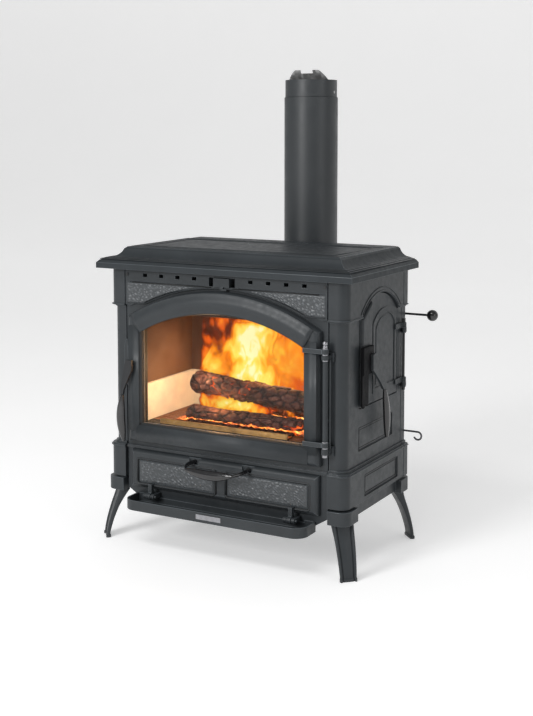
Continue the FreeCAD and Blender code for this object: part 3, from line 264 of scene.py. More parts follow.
def bare_steel(name, colour, rough, lines):
    """Bare metal with turning or rolling lines along one axis and small dull spots."""
    finish = Finish(name, colour, rough, metal=1.0)
    finish.mottle(120, 0.8, 1.1)
    finish.rough_between(200, rough - 0.08, rough + 0.12)
    finish.bump((finish.noise(60, 4.0, 0.7, finish.stretched(lines)), 0.1, 0.3))
    return finish.material


def galvanised(name):
    """Zinc-coated sheet, with crystals that differ in shade and sheen."""
    finish = Finish(name, (0.42, 0.43, 0.44), 0.42, metal=0.85)
    spangle = finish.cells(95.0)["Color"]
    finish.wire(finish.ranged(spangle, 0.34, 0.62), "Base Color")
    finish.wire(finish.ranged(spangle, 0.34, 0.55), "Roughness")
    finish.bump((finish.noise(300, 2.0), 0.1, 0.2))
    return finish.material


def gloss_black(name):
    """Glossy moulded grips, a little uneven under a clear coat."""
    finish = Finish(name, (0.011, 0.011, 0.012), 0.16)
    finish.mottle(30, 0.8, 1.25)
    finish.rough_between(80, 0.1, 0.22)
    finish.bump((finish.noise(45, 2.0), 0.3, 0.12))
    finish.set("Coat Weight", 0.5)
    finish.set("Coat Roughness", 0.08)
    return finish.material


def liner_plate(name):
    """Heat-stained cast liner: rust brown, darker towards its top."""
    finish = Finish(name, (0.10, 0.045, 0.02), 0.75)
    height = finish.node("ShaderNodeSeparateXYZ", {"Vector": finish.place}).outputs["Z"]
    climb = finish.ranged(height, 0.0, 0.75, 0.415, 0.6)
    top_darkening = finish.maths("ADD", climb, finish.noise(11, 4.0, 0.7))
    stops = [(0.4, (0.20, 0.12, 0.075)), (0.75, (0.11, 0.055, 0.032)), (1.0, (0.04, 0.02, 0.013))]
    finish.wire(finish.ramp(finish.ranged(top_darkening, 0, 1, 0.2, 1.3), stops), "Base Color")
    finish.bump((finish.noise(90, 5.0, 0.7), 0.8, 0.5))
    return finish.material


def firebrick(name):
    """Pale vermiculite board with flakes, the fire's warm light on it painted in as a glow."""
    finish = Finish(name, (0.82, 0.74, 0.56), 0.9)
    finish.mottle(16, 0.8, 1.08)
    flakes = finish.cells(260.0)["Distance"]
    finish.bump((flakes, 0.5, 0.4), (finish.noise(40, 4.0), 1.0, 0.3))
    stops = [(0.3, (1.0, 0.70, 0.38)), (0.7, (1.0, 0.80, 0.52))]
    finish.glow(finish.ramp(finish.noise(7, 3.0), stops), 0.42)
    return finish.material


def rope(name):
    """Woven glass-fibre rope, grey and matt."""
    finish = Finish(name, (0.24, 0.235, 0.225), 0.95)
    finish.mottle(400, 0.6, 1.3)
    finish.bump((finish.noise(500, 2.0), 1.0, 0.8))
    return finish.material


def stove_glass(name):
    """Clear ceramic glass with a thin, uneven film of smoke."""
    finish = Finish(name, (0.05, 0.035, 0.02), 0.06)
    finish.wire(finish.ranged(finish.noise(5, 4.0, 0.6), 0.03, 0.14, 0.35, 0.75), "Alpha")
    finish.set("Specular IOR Level", 0.6)
    return finish.material


def tinted_brass(name):
    """Brass that the fire has browned in patches."""
    finish = Finish(name, (0.28, 0.155, 0.05), 0.38, metal=0.75)
    finish.mottle(35, 0.55, 1.2, 4.0)
    finish.rough_between(90, 0.28, 0.55)
    finish.bump((finish.noise(220, 3.0), 0.3, 0.3))
    return finish.material


def charred_wood(name):
    """Burnt log: dark red-brown char, ash on its blocks, and embers deep in a few cracks."""
    finish = Finish(name, (0.05, 0.02, 0.014), 0.8)
    crack = finish.attribute("crack")
    ash = finish.maths("ADD", finish.noise(70, 5.0, 0.7), finish.ranged(crack, 0.1, -0.2))
    stops = [(0.36, (0.010, 0.004, 0.003)), (0.56, (0.05, 0.013, 0.009)),
             (0.72, (0.13, 0.05, 0.036)), (0.9, (0.34, 0.2, 0.16))]
    finish.wire(finish.ramp(ash, stops), "Base Color")
    patches = finish.ranged(finish.noise(14, 3.0, 0.6), 0, 1, 0.52, 0.72)
    stops = [(0.15, (0, 0, 0)), (0.5, (0.55, 0.05, 0.004)), (0.9, (1.0, 0.24, 0.02))]
    finish.glow(finish.ramp(finish.maths("MULTIPLY", crack, patches), stops), 1.6)
    finish.bump((finish.noise(240, 4.0, 0.7), 1.0, 0.8))
    return finish.material


def ember_bed(name):
    """Grey-brown ash with glowing coals in spots, where the warmth attribute is high."""
    finish = Finish(name, (0.12, 0.06, 0.04), 0.9)
    stops = [(0.35, (0.05, 0.03, 0.02)), (0.7, (0.36, 0.24, 0.15))]
    finish.wire(finish.ramp(finish.noise(120, 4.0, 0.7), stops), "Base Color")
    patches = finish.ranged(finish.noise(60, 4.0, 0.7), 0, 1.3, 0.35, 0.65)
    coals = finish.maths("MULTIPLY", finish.attribute("warmth"), patches)
    stops = [(0.1, (0.05, 0.006, 0.0)), (0.4, (0.9, 0.14, 0.01)),
             (0.75, (1.0, 0.42, 0.06)), (1.0, (1.0, 0.75, 0.3))]
    finish.glow(finish.ramp(coals, stops), 2.2)
    finish.bump((finish.noise(300, 4.0, 0.7), 1.5, 0.7))
    return finish.material


def flame(name, tall, shift, strength, clear, wild):
    """Fire: curling bands of hot gas, see-through where the heat is below clear.

    A lower tall draws the bands further upwards, shift picks another part of the pattern, and
    wild is how far the curls move the heat away from the sheet's own warmth attribute.
    """
    finish = Finish(name, (0, 0, 0), 1.0)
    finish.set("Specular IOR Level", 0.0)
    drawn = finish.stretched((1.0, 1.0, tall), (shift, shift, shift))
    curls = finish.ranged(finish.noise(9.0, 2.5, 0.5, drawn, 1.1), -wild, wild, 0.32, 0.68)
    fine = 0.35 * wild
    wisps = finish.ranged(finish.noise(24.0, 2.0, 0.5, drawn, 1.8), -fine, fine, 0.35, 0.65)
    heat = finish.maths("ADD", finish.attribute("warmth"), finish.maths("ADD", curls, wisps))
    heat = finish.ranged(heat, 0.0, 1.0, 0.0, 1.35)
    stops = [(0.0, (0.03, 0.002, 0.0)), (0.14, (0.22, 0.018, 0.001)), (0.3, (0.72, 0.1, 0.005)),
             (0.46, (0.98, 0.27, 0.012)), (0.62, (1.0, 0.5, 0.04)), (0.8, (1.0, 0.74, 0.12)),
             (0.98, (1.0, 0.9, 0.45))]
    finish.glow(finish.ramp(heat, stops, "EASE"), strength)
    finish.wire(finish.ranged(heat, 0.0, 1.0, clear, clear + 0.22), "Alpha")
    return finish.material


def floor_paper(name):
    """Pale studio paper, with a little light of its own so that it stays near white."""
    finish = Finish(name, (0.82, 0.82, 0.82), 0.9)
    finish.mottle(2, 0.99, 1.01)
    finish.set("Emission Color", (1, 1, 1, 1))
    finish.set("Emission Strength", 0.36)
    return finish.material


CAST = (0.030, 0.0345, 0.038)
# how much more the turning or rolling lines repeat along one axis than along the others
TURNED, ROLLED = (1, 1, 14), (1, 14, 14)
FINISHES = {
    "cast": cast_paint("cast_paint", CAST, 0.42),
    # rounded edges 2.4 times lighter: rubbed paint and a painted highlight along every edge
    "edge_wear_and_highlight": cast_paint("edge_wear_and_highlight", shaded(CAST, 2.4), 0.34, 0.2),
    "deck": cast_paint("deck_paint", shaded(CAST, 1.08), 0.5, 0.3, specular=0.14),
    # hammered panels: painted shade in the dents and a painted highlight on the crests
    "panel": hammered_paint("hammered_paint", (0.045, 0.050, 0.054), (0.115, 0.125, 0.135), 0.36),
    # near black, laid along grooves, steps and panel edges as painted shade
    "painted_seam_shade": steel_paint("seam_shadow", (0.006, 0.0065, 0.007), 0.6),
    # near black: the latch's black iron, with the shade along the door's front edge painted in
    "latch_black_and_shade": cast_paint("latch_black_iron_and_painted_shade", (0.007, 0.007, 0.008), 0.6, specular=0.1),
    "iron": cast_paint("black_iron", (0.022, 0.023, 0.025), 0.5),
    "flue": steel_paint("flue_enamel", (0.030, 0.034, 0.037), 0.42),
    "black": steel_paint("black_steel", (0.014, 0.015, 0.016), 0.36),
    "steel": bare_steel("turned_steel", (0.36, 0.36, 0.38), 0.3, TURNED),
    "wire": bare_steel("drawn_wire", (0.16, 0.16, 0.17), 0.4, ROLLED),
    "alloy": bare_steel("plain_alloy", (0.34, 0.34, 0.36), 0.45, ROLLED),
    "zinc": galvanised("galvanised_sheet"),
    "gloss": gloss_black("gloss_enamel"),
    "liner": liner_plate("stained_liner"),
    "brick": firebrick("vermiculite"),
    "rope": rope("glass_rope"),
    "glass": stove_glass("ceramic_glass"),
    "brass": tinted_brass("tinted_brass"),
    "char": charred_wood("charred_log"),
    "ember": ember_bed("ember_bed"),
    "flame_back": flame("flame_back", 0.5, 0.0, 1.15, 0.06, 0.26),
    "flame_middle": flame("flame_middle", 0.55, 3.1, 1.2, 0.3, 0.5),
    "flame_front": flame("flame_front", 0.7, 7.7, 1.15, 0.04, 0.55),
    "floor": floor_paper("pale_floor"),
}

# the finish of each node of the model that isn't plain painted casting
NODE_FINISH = {
    "door_glass": "glass", "glass_seal": "rope", "joint_seals": "iron", "firebricks": "brick",
    "baffle": "liner", "firebox_liner": "liner", "side_throat": "iron", "firebox_floor": "iron",
    "grate": "iron", "hinge_pin": "steel", "hinge_washers": "steel", "side_hinge_pin": "black",
    "gate_knob": "gloss", "gate_rod": "black", "wire_pull": "wire", "damper_plate": "zinc",
    "flue_pipe": "flue", "flue_collar": "flue", "flue_tee": "flue", "flue_cap": "flue",
    "gate_case": "black", "air_inlet": "black", "ash_pan": "black", "air_slider": "black",
    "slider_guides": "black", "plate_screws": "black", "handle_arm": "iron",
    "handle_grip": "gloss", "side_handle_grip": "gloss", "ash_handle": "gloss",
    # the side latch housing is near black: black iron and painted shade
    "side_latch_housing": "latch_black_and_shade", "top_plate": "deck", "blanking_cover": "deck",
    "blank_plate": "alloy", "log_retainer": "brass",
}
# width of the rounded edge on the pieces that have one, in millimetres
EDGE_WIDTH = {
    "top_plate": 0.6, "front_plate": 0.8, "side_left": 1.0, "side_right": 1.0, "rear_panel": 0.9,
    "base_frame": 1.4, "ash_door": 0.9, "door_frame": 0.8, "side_door": 0.8, "front_tray": 1.1,
    "hinge_arms": 1.2, "hinge_brackets": 1.2, "latch_keeper": 1.5, "side_hinge_arms": 1.0,
    "side_hinge_brackets": 1.0, "side_latch_housing": 1.2, "side_handle_arm": 1.4,
    "handle_arm": 1.4, "ash_straps": 1.2, "ash_lugs": 0.8, "slider_knob": 1.0, "gate_case": 1.0,
    "air_inlet": 1.0, "log_retainer": 0.8, "firebricks": 2.5, "baffle": 2.0,
    "blanking_cover": 0.7, "plate_screws": 0.4, "flue_cap": 1.2, "blank_plate": 0.3,
    "hinge_washers": 0.5, "hinge_pin": 0.8,
}
# angle above which two faces keep a crisp line between them, in degrees
SPLIT_ANGLE = {
    "top_plate": 12, "front_plate": 20, "side_left": 20, "side_right": 20, "base_frame": 20,
}
USUAL_SPLIT_ANGLE = 38
# edges sharper than the first angle are rounded, and faces that turn less than the second merge
ROUND_ANGLE, FLAT_ANGLE = 32, 1.0
WELD_METRES = 0.00001
FACE_WEIGHT = 80


def bevel(piece, width, angle):
    """Round the edges sharper than an angle in degrees, over a width in millimetres."""
    edge = piece.modifiers.new("edge", "BEVEL")
    edge.width = width * MM
    edge.segments = 2
    edge.limit_method = "ANGLE"
    edge.angle_limit = math.radians(angle)
    return edge


def finish_node(name, node):
    """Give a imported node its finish, and round the edges that the real part has rounded."""
    finish = NODE_FINISH.get(name, "cast")
    node.data.materials.clear()
    node.data.materials.append(FINISHES[finish])
    for face in node.data.polygons:
        face.use_smooth = True
    if name in EDGE_WIDTH:
        weld = node.modifiers.new("weld", "WELD")
        weld.merge_threshold = WELD_METRES
        flat = node.modifiers.new("flat", "DECIMATE")
        flat.decimate_type = "DISSOLVE"
        flat.angle_limit = math.radians(FLAT_ANGLE)
        edge = bevel(node, EDGE_WIDTH[name], ROUND_ANGLE)
        # the rounded edges of painted castings take the lighter edge paint: rubbed paint and
        # painted highlight
        if finish in ("cast", "deck"):
            node.data.materials.append(FINISHES["edge_wear_and_highlight"])
            edge.material = 1
    split = node.modifiers.new("split", "EDGE_SPLIT")
    split.split_angle = math.radians(SPLIT_ANGLE.get(name, USUAL_SPLIT_ANGLE))
    shade = node.modifiers.new("shade", "WEIGHTED_NORMAL")
    shade.weight = FACE_WEIGHT
    shade.keep_sharp = False


# ---------------------------------------------------------------- mesh helpers
def new_mesh(name, finish, vertices, faces):
    mesh = bpy.data.meshes.new(name)
    mesh.from_pydata([tuple(vertex) for vertex in vertices], [], faces)
    mesh.update()
    mesh.materials.append(FINISHES[finish])
    return mesh


def smooth_faces(mesh):
    for face in mesh.polygons:
        face.use_smooth = True


def add_piece(name, body, finish, vertices, faces):
    """A new mesh piece that rides on a body."""
    mesh = new_mesh(name, finish, vertices, faces)
    shell = bmesh.new()
    shell.from_mesh(mesh)
    bmesh.ops.recalc_face_normals(shell, faces=shell.faces)
    shell.to_mesh(mesh)
    shell.free()
    smooth_faces(mesh)
    piece = add_object(name, mesh)
    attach(piece, body)
    return piece


def set_attribute(piece, name, values):
    piece.data.attributes.new(name, "FLOAT", "POINT").data.foreach_set("value", values)


def grid_faces(columns, rows, wrap=False):
    """Faces of a grid of points listed by columns; wrap joins the last column to the first."""
    faces = []
    for i in range(columns if wrap else columns - 1):
        for j in range(rows - 1):
            a, b = i * rows + j, ((i + 1) % columns) * rows + j
            faces.append((a, b, b + 1, a + 1))
    return faces


def closed_tube(rings):
    """Vertices and faces of a tube through rings of points, closed at both ends."""
    rows = len(rings[0])
    vertices = [point for ring in rings for point in ring]
    faces = []
    for i in range(len(rings) - 1):
        for j in range(rows):
            k = (j + 1) % rows
            faces.append((i * rows + j, i * rows + k, (i + 1) * rows + k, (i + 1) * rows + j))
    faces.append(tuple(range(rows)))
    faces.append(tuple((len(rings) - 1) * rows + j for j in range(rows)))
    return vertices, faces


def smooth_step(value):
    value = min(1.0, max(0.0, value))
    return value * value * (3 - 2 * value)


def spread(first, last, steps):
    """Evenly spaced values from first to last, both included."""
    return [first + (last - first) * n / steps for n in range(steps + 1)]


# ---------------------------------------------------------------- beads on flat faces
def on_front(face_y):
    """Places (x, z, rise) on a face towards the front."""
    def place(x, z, rise):
        return at(x, face_y - rise, z)
    return place


def on_side(face_x):
    """Places (y, z, rise) on a face towards the right."""
    def place(y, z, rise):
        return at(face_x + rise, y, z)
    return place


def on_deck(face_z):
    """Places (x, y, rise) on a face towards the top."""
    def place(x, y, rise):
        return at(x, y, face_z + rise)
    return place


def bead_section(point, side, place, width, lift, facets=6, soft=False):
    """Half-round points across a bead, or with soft a swelling that meets its face smoothly."""
    section = []
    for n in range(facets + 1):
        angle = math.pi * n / facets
        off = (1 - 2 * n / facets if soft else math.cos(angle)) * width / 2
        rise = math.sin(angle) ** (2 if soft else 1) * lift
        section.append(place(point[0] + side.x * off, point[1] + side.y * off, rise))
    return section


def bead(name, body, finish, path, place, *shape):
    """A bead along a path of points on a face; shape is what bead_section takes."""
    rings = []
    for i, point in enumerate(path):
        before, after = path[max(0, i - 1)], path[min(len(path) - 1, i + 1)]
        run = Vector((after[0] - before[0], after[1] - before[1])).normalized()
        rings.append(bead_section(point, Vector((-run.y, run.x)), place, *shape))
    add_piece(name, body, finish, *closed_tube(rings))


def mitred_bead(name, body, finish, corners, place, width, lift):
    """A half-round bead round a closed outline, mitred at its corners."""
    count = len(corners)
    vertices = []
    for i, here in enumerate(corners):
        before, after = corners[i - 1], corners[(i + 1) % count]
        into = Vector((here[0] - before[0], here[1] - before[1])).normalized()
        out = Vector((after[0] - here[0], after[1] - here[1])).normalized()
        side = Vector((-(into + out).y, (into + out).x)).normalized()
        mitre = 1 / max(0.35, side.dot(Vector((-out.y, out.x))))
        vertices += bead_section(here, side, place, width * mitre, lift)
    rows = len(vertices) // count
    faces = grid_faces(count, rows, wrap=True)
    for i in range(count):
        near, far = i * rows, (i + 1) % count * rows
        faces.append((near, far, far + rows - 1, near + rows - 1))
    add_piece(name, body, finish, vertices, faces)


def rectangle(left, right, low, high):
    return [(left, low), (right, low), (right, high), (left, high)]


def rounded_loop(corners, radius):
    """The outline through corners with each turned on an arc, and back to its start."""
    path = []
    for n, corner in enumerate(corners):
        here = Vector(corner)
        before, after = Vector(corners[n - 1]), Vector(corners[(n + 1) % len(corners)])
        into, out = (before - here).normalized(), (after - here).normalized()
        centre = here + (into + out) * radius
        for angle in spread(0, math.pi / 2, 4):
            arm = out * math.cos(angle) + into * math.sin(angle)
            path.append(tuple(centre - arm * radius))
    return path + path[:1]


# ---------------------------------------------------------------- hammered panels
PANEL_PITCH = 1.4
HAMMER_DEPTH = 2.6
PANEL_LIFT = 0.5

# the door's arch: half its width, the heights of its springing and its crown, and its radius
ARCH_HALF, ARCH_SPRING, ARCH_CROWN = 279.0, 600.0, 679.0
ARCH_RISE = ARCH_CROWN - ARCH_SPRING
ARCH_RADIUS = (ARCH_HALF ** 2 + ARCH_RISE ** 2) / (2 * ARCH_RISE)

# the hammered frieze: half its width, its lowest and highest heights, and its gap to the arch
FRIEZE_HALF, FRIEZE_LEDGE, FRIEZE_TOP, FRIEZE_GAP = 288.0, 635.0, 685.0, 11.0
# the bead along its foot lies this far below it, and nearer to the arch
BEAD_DROP, BEAD_STEP = 2, 4
# the height over the arch that is too thin for a panel, and the margin left beside it
THIN, THIN_MARGIN = 1, 4

# the ash door's two panels: their distances from its sides, its middle, its foot and its top
ASH_SIDE, ASH_MIDDLE, ASH_FOOT, ASH_TOP = 30, 24.0, 19, 29
# their outlines stand this far off, and turn their corners on this radius
OUTLINE_PAD, OUTLINE_RADIUS = 8.0, 7.0


def hammer(x, z):
    """Depth of the hammered skin, in millimetres: short flattened dents that lean one way."""
    along, across = x * 0.86 - z * 0.5, x * 0.5 + z * 0.86
    dents = noise.voronoi(Vector((along * 0.095, across * 0.21, 0)))[0]
    ripple = noise.noise(Vector((along * 0.12, across * 0.29, 3.0)))
    return HAMMER_DEPTH * (0.9 * (dents[1] - dents[0]) + 0.5 * ripple)


def hammered_panel(name, body, left, right, foot, top, face_y):
    """A raised skin facing the front, from foot(x) up to its top, with its edge turned back."""
    columns = max(2, round((right - left) / PANEL_PITCH))
    rows = max(4, round((top - min(foot(left), foot(right))) / PANEL_PITCH))
    vertices, relief_shadings = [], []
    for i, x in enumerate(spread(left, right, columns)):
        for j, z in enumerate(spread(foot(x), top, rows)):
            edge = min(i, columns - i, j, rows - j)
            relief = max(0, hammer(x, z))
            lift = min(1, edge / 2) * (PANEL_LIFT + relief)
            vertices.append(at(x, face_y - lift, z))
            # the relief also sets the painted shade and highlight of the hammering
            relief_shadings.append(relief / HAMMER_DEPTH)
    panel = add_piece(name, body, "panel", vertices, grid_faces(columns + 1, rows + 1))
    set_attribute(panel, "relief_shading", relief_shadings)


def arch_height(x, growth):
    """Height of the door's arch at x, grown outwards."""
    radius = ARCH_RADIUS + growth
    return ARCH_CROWN - ARCH_RADIUS + math.sqrt(max(0.0, radius ** 2 - x ** 2))


def arch_reach(height, growth):
    """Half the width of the door's arch at a height, grown outwards."""
    return math.sqrt((ARCH_RADIUS + growth) ** 2 - (height - ARCH_CROWN + ARCH_RADIUS) ** 2)


def frieze_foot(x):
    return max(FRIEZE_LEDGE, arch_height(x, FRIEZE_GAP))


def add_spandrels():
    """The hammered frieze either side of the door's arch, and the bead along its foot."""
    face_y = span("front_plate")[0].y
    # each panel stops where the frieze over the arch gets too thin to hold a skin
    inner = arch_reach(FRIEZE_TOP - THIN, FRIEZE_GAP) + THIN_MARGIN
    for side, hand in SIDES:
        left, right = sorted((hand * inner, hand * FRIEZE_HALF))
        hammered_panel(f"spandrel_{side}", "stove", left, right, frieze_foot, FRIEZE_TOP, face_y)
    path = [(x, max(FRIEZE_LEDGE - BEAD_DROP, arch_height(x, FRIEZE_GAP - BEAD_STEP)))
            for x in spread(-FRIEZE_HALF, FRIEZE_HALF, 48)]
    bead("spandrel_bead", "stove", "cast", path, on_front(face_y), 2.6, 1.4)


def add_ash_panels():
    """The ash door's hammered panels, each in a bead with a painted shade line round it."""
    low, high = span("ash_door")
    outer = -low.x - ASH_SIDE
    bottom, top = low.z + ASH_FOOT, high.z - ASH_TOP

    def foot(x):
        return bottom

    for side, hand in SIDES:
        left, right = sorted((hand * ASH_MIDDLE, hand * outer))
        hammered_panel(f"ash_panel_{side}", "ash_door", left, right, foot, top, low.y + 0.8)
        corners = rectangle(left - OUTLINE_PAD, right + OUTLINE_PAD,
                            bottom - OUTLINE_PAD, top + OUTLINE_PAD)
        outline = rounded_loop(corners, OUTLINE_RADIUS)
        for kind, finish, sunk, width, lift in (
                ("painted_seam_shade", "painted_seam_shade", 0.4, 6.4, 1.0), ("bead", "cast", 0.2, 3.4, 2.0)):
            bead(f"ash_{kind}_{side}", "ash_door", finish, outline, on_front(low.y + sunk),
                 width, lift)


# ---------------------------------------------------------------- fine lines on the castings
# how far in from the plate's edge each cast line runs, and how far it lies below the deck
PLATE_LINES = [(9.5, 30.6), (17.5, 28.6), (25.5, 26.8), (60.0, 2.0), (68.0, 0.4), (92.0, 0.0)]
PLATE_LINE_SUNK, PLATE_LINE_SHAPE = 0.4, (3.6, 2.2)
# the painted shade behind a line: its place from the line's, how much shorter it is at each end,
# and its half width and height
SHADE_LINE_BACK, SHADE_LINE_UP, SHADE_LINE_SHORT, SHADE_LINE_HALF, SHADE_LINE_HIGH = 3.4, 0.3, 3, 1.5, 1.4

# the shade line painted over the frieze: its height, and its ends' distances from the middle
FRIEZE_LINE_HEIGHT, FRIEZE_LINE_ENDS = 687.5, (30, 272)

# the door's rolls: middle lines inside the arch, down the sides and along the foot, then each
# roll's width, lift and number of facets; SOFT makes them swell without an edge
DOOR_FACE, ROLL_SUNK, SOFT = -199.0, 0.2, True
ROLL_GROWTH, ROLL_ACROSS = -29, range(-252, 253, 9)
ROLL_SIDE, ROLL_SIDE_ENDS = 257.5, (300, 576)
ROLL_FOOT, ROLL_FOOT_HALF = 295.5, 250
ARCH_ROLL, SIDE_ROLL, FOOT_ROLL = (54, 7.0, 24, SOFT), (34, 2.6, 20, SOFT), (44, 3.4, 20, SOFT)

# a side casting's two shallow panels: how far out each face is, then its front, rear, foot, top
SIDE_PANELS = [
    ("side_panel", 338.0, (-93, 111, 295, 353)),
    ("base_panel", 348.0, (-77, 127, 180, 234)),
]
# each panel has two painted shade outlines: how far in each one is, and how far below the face
SIDE_OUTLINES = [(0, 0), (7, 2.6)]
SIDE_OUTLINE_WIDTH, SIDE_OUTLINE_LIFT = 1.9, 0.7

# the side arch: its face, its middle, springing and crown, half its width, and its rims' growths
SIDE_FRIEZE = 344.5
SIDE_ARCH_MIDDLE, SIDE_ARCH_SPRING, SIDE_ARCH_CROWN, SIDE_ARCH_HALF = 24.0, 621.0, 677.0, 117.0
SIDE_ARCH_FOOT = SIDE_ARCH_SPRING + 12
SIDE_ARCH_RIMS = (3.0, 12.0)
SIDE_RIM_SHAPE = (3.2, 1.8)


def add_plate_lines():
    """The ribs cast along the top plate's steps, right round it."""
    low, high = span("top_plate")
    for number, (inset, drop) in enumerate(PLATE_LINES):
        corners = rectangle(low.x + inset, high.x - inset, low.y + inset, high.y - inset)
        mitred_bead(f"plate_line_{number}", "stove", "cast", corners,
                    on_deck(high.z - drop - PLATE_LINE_SUNK), *PLATE_LINE_SHAPE)


def add_front_lines():
    """Painted shade lines across the front: over the frieze, and behind the plate's ribs."""
    frieze = on_front(span("front_plate")[0].y)
    for side, hand in SIDES:
        path = [(x, FRIEZE_LINE_HEIGHT) for x in sorted(hand * end for end in FRIEZE_LINE_ENDS)]
        bead(f"frieze_line_{side}", "stove", "painted_seam_shade", path, frieze, 2.6, 0.5)
    low, high = span("top_plate")
    for number, (inset, drop) in enumerate(PLATE_LINES[:-1]):
        y, z = low.y + inset + SHADE_LINE_BACK, high.z - drop + SHADE_LINE_UP
        arc = [(y + math.cos(angle) * SHADE_LINE_HALF, z + math.sin(angle) * SHADE_LINE_HIGH)
               for angle in spread(0, math.pi, 4)]
        rings = [[at(x, *point) for point in arc]
                 for x in (low.x + inset + SHADE_LINE_SHORT, high.x - inset - SHADE_LINE_SHORT)]
        add_piece(f"plate_rib_shade_{number}", "stove", "painted_seam_shade", *closed_tube(rings))


def add_door_rolls():
    """The soft crown of the door's moulding, swelling between its rounded edges."""
    paths = {"arch": ([(x, arch_height(x, ROLL_GROWTH)) for x in ROLL_ACROSS], ARCH_ROLL)}
    for side, hand in SIDES:
        paths[side] = ([(hand * ROLL_SIDE, z) for z in ROLL_SIDE_ENDS], SIDE_ROLL)
    paths["foot"] = ([(x, ROLL_FOOT) for x in (-ROLL_FOOT_HALF, ROLL_FOOT_HALF)], FOOT_ROLL)
    for part, (path, shape) in paths.items():
        bead(f"door_roll_{part}", "main_door", "cast", path, on_front(DOOR_FACE + ROLL_SUNK),
             *shape)


def add_side_outlines():
    """Painted shade lines round the two shallow panels of either side."""
    for side, hand in SIDES:
        for name, face_x, (front, rear, foot, top) in SIDE_PANELS:
            for inset, sunk in SIDE_OUTLINES:
                corners = rectangle(front + inset, rear - inset, foot + inset, top - inset)
                bead(f"{name}_line_{side}_{inset}", "stove", "painted_seam_shade", corners + corners[:1],
                     on_side(hand * (face_x - sunk)), SIDE_OUTLINE_WIDTH, hand * SIDE_OUTLINE_LIFT)


def add_arch_lines():
    """The two rims round the side opening's arch, down to the foot of the frieze."""
    rise = SIDE_ARCH_CROWN - SIDE_ARCH_SPRING
    for number, growth in enumerate(SIDE_ARCH_RIMS):
        radius = (SIDE_ARCH_HALF ** 2 + rise ** 2) / (2 * rise) + growth
        middle = SIDE_ARCH_CROWN + growth - radius
        reach = math.sqrt(radius ** 2 - (SIDE_ARCH_FOOT - middle) ** 2)
        path = [(SIDE_ARCH_MIDDLE + along, middle + math.sqrt(radius ** 2 - along ** 2))
                for along in spread(-reach, reach, 40)]
        bead(f"arch_line_{number}", "stove", "cast", path, on_side(SIDE_FRIEZE), *SIDE_RIM_SHAPE)


# ---------------------------------------------------------------- legs
LEGS = ("leg_front_left", "leg_front_right", "leg_rear_left", "leg_rear_right")
# height, then how far the leg has gone from hip to foot in reach, width and thickness
LEG_STATIONS = [
    (1.0, 0.0, 0.0, 0.0), (0.86, 0.2, 0.14, 0.4), (0.66, 0.48, 0.34, 0.72),
    (0.42, 0.74, 0.58, 0.88), (0.2, 0.92, 0.8, 0.97), (0.07, 0.99, 0.93, 1.0),
    (0.055, 1.0, 0.8, 0.8), (0.0, 1.0, 0.8, 0.8),
]
LEG_RINGS, LEG_FACETS = 56, 40
HIP_WIDTH, FOOT_WIDTH, HIP_THICK, FOOT_THICK = 56, 42, 30, 10
# distances from the stove's middle, across and then along it; -1 is the front and 1 the rear
HIP_ACROSS, FOOT_ACROSS = 325, 357
HIP_ALONG, FOOT_ALONG = {-1: 157.5, 1: 172}, {-1: 187, 1: 196}
# heights of the bead and depth of the groove down both edges of the leg's face
RIB, GROOVE = 4.0, 1.8
BACK_INSET = 2
LEG_EDGE, LEG_ROUND_ANGLE = 0.8, 50


def leg_station(share):
    """The leg's measures at a share of the way down, eased between its stations."""
    position = share * (len(LEG_STATIONS) - 1)
    first = min(int(position), len(LEG_STATIONS) - 2)
    blend = position - first
    points = [LEG_STATIONS[min(max(first + n, 0), len(LEG_STATIONS) - 1)] for n in (-1, 0, 1, 2)]
    values = []
    for a, b, c, d in zip(*points):
        values.append(0.5 * (2 * b + (c - a) * blend + (2 * a - 5 * b + 4 * c - d) * blend ** 2
                             + (3 * b - a - 3 * c + d) * blend ** 3))
    return values


def band(value, start, rise, end, fall):
    """1 between start and end, eased up over rise after start and down over fall after end."""
    return smooth_step((value - start) / rise) * (1 - smooth_step((value - end) / fall))


def leg_profile(width, thick):
    """Across and outward offsets round the leg: a bowed face with a bead along each edge."""
    profile = []
    for across in spread(-1, 1, LEG_FACETS):
        bow = thick / 4 + thick / 4 * math.sqrt(max(0, 1 - across ** 2))
        rib = RIB * band(abs(across), 0.70, 0.07, 0.9, 0.09)
        groove = GROOVE * band(abs(across), 0.56, 0.06, 0.66, 0.04)
        profile.append((across * width / 2, bow - RIB + rib - groove))
    back = width / 2 - BACK_INSET
    return profile + [(back, -thick / 2), (-back, -thick / 2)]


def add_leg(node):
    """A splayed cast leg with ribbed edges, in place of the model's plainer one."""
    low, high = span(node)
    right_hand = 1 if low.x + high.x > 0 else -1
    front_hand = -1 if low.y + high.y < 0 else 1
    hip = Vector((right_hand * HIP_ACROSS, front_hand * HIP_ALONG[front_hand], 0))
    foot = Vector((right_hand * FOOT_ACROSS, front_hand * FOOT_ALONG[front_hand], 0))
    outwards = Vector((right_hand, front_hand, 0)).normalized()
    across = Vector((-outwards.y, outwards.x, 0))
    rings = []
    for share in spread(0, 1, LEG_RINGS):
        level, reach, narrowed, thinned = leg_station(share)
        middle = hip + (foot - hip) * reach + Vector((0, 0, level * high.z))
        width = HIP_WIDTH + (FOOT_WIDTH - HIP_WIDTH) * narrowed
        thick = HIP_THICK + (FOOT_THICK - HIP_THICK) * thinned
        rings.append([at(*(middle + across * a + outwards * o))
                      for a, o in leg_profile(width, thick)])
    name = node.replace("leg_", "cast_leg_")
    leg = add_piece(name, "stove", "cast", *closed_tube(rings))
    bevel(leg, LEG_EDGE, LEG_ROUND_ANGLE)
    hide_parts(node)


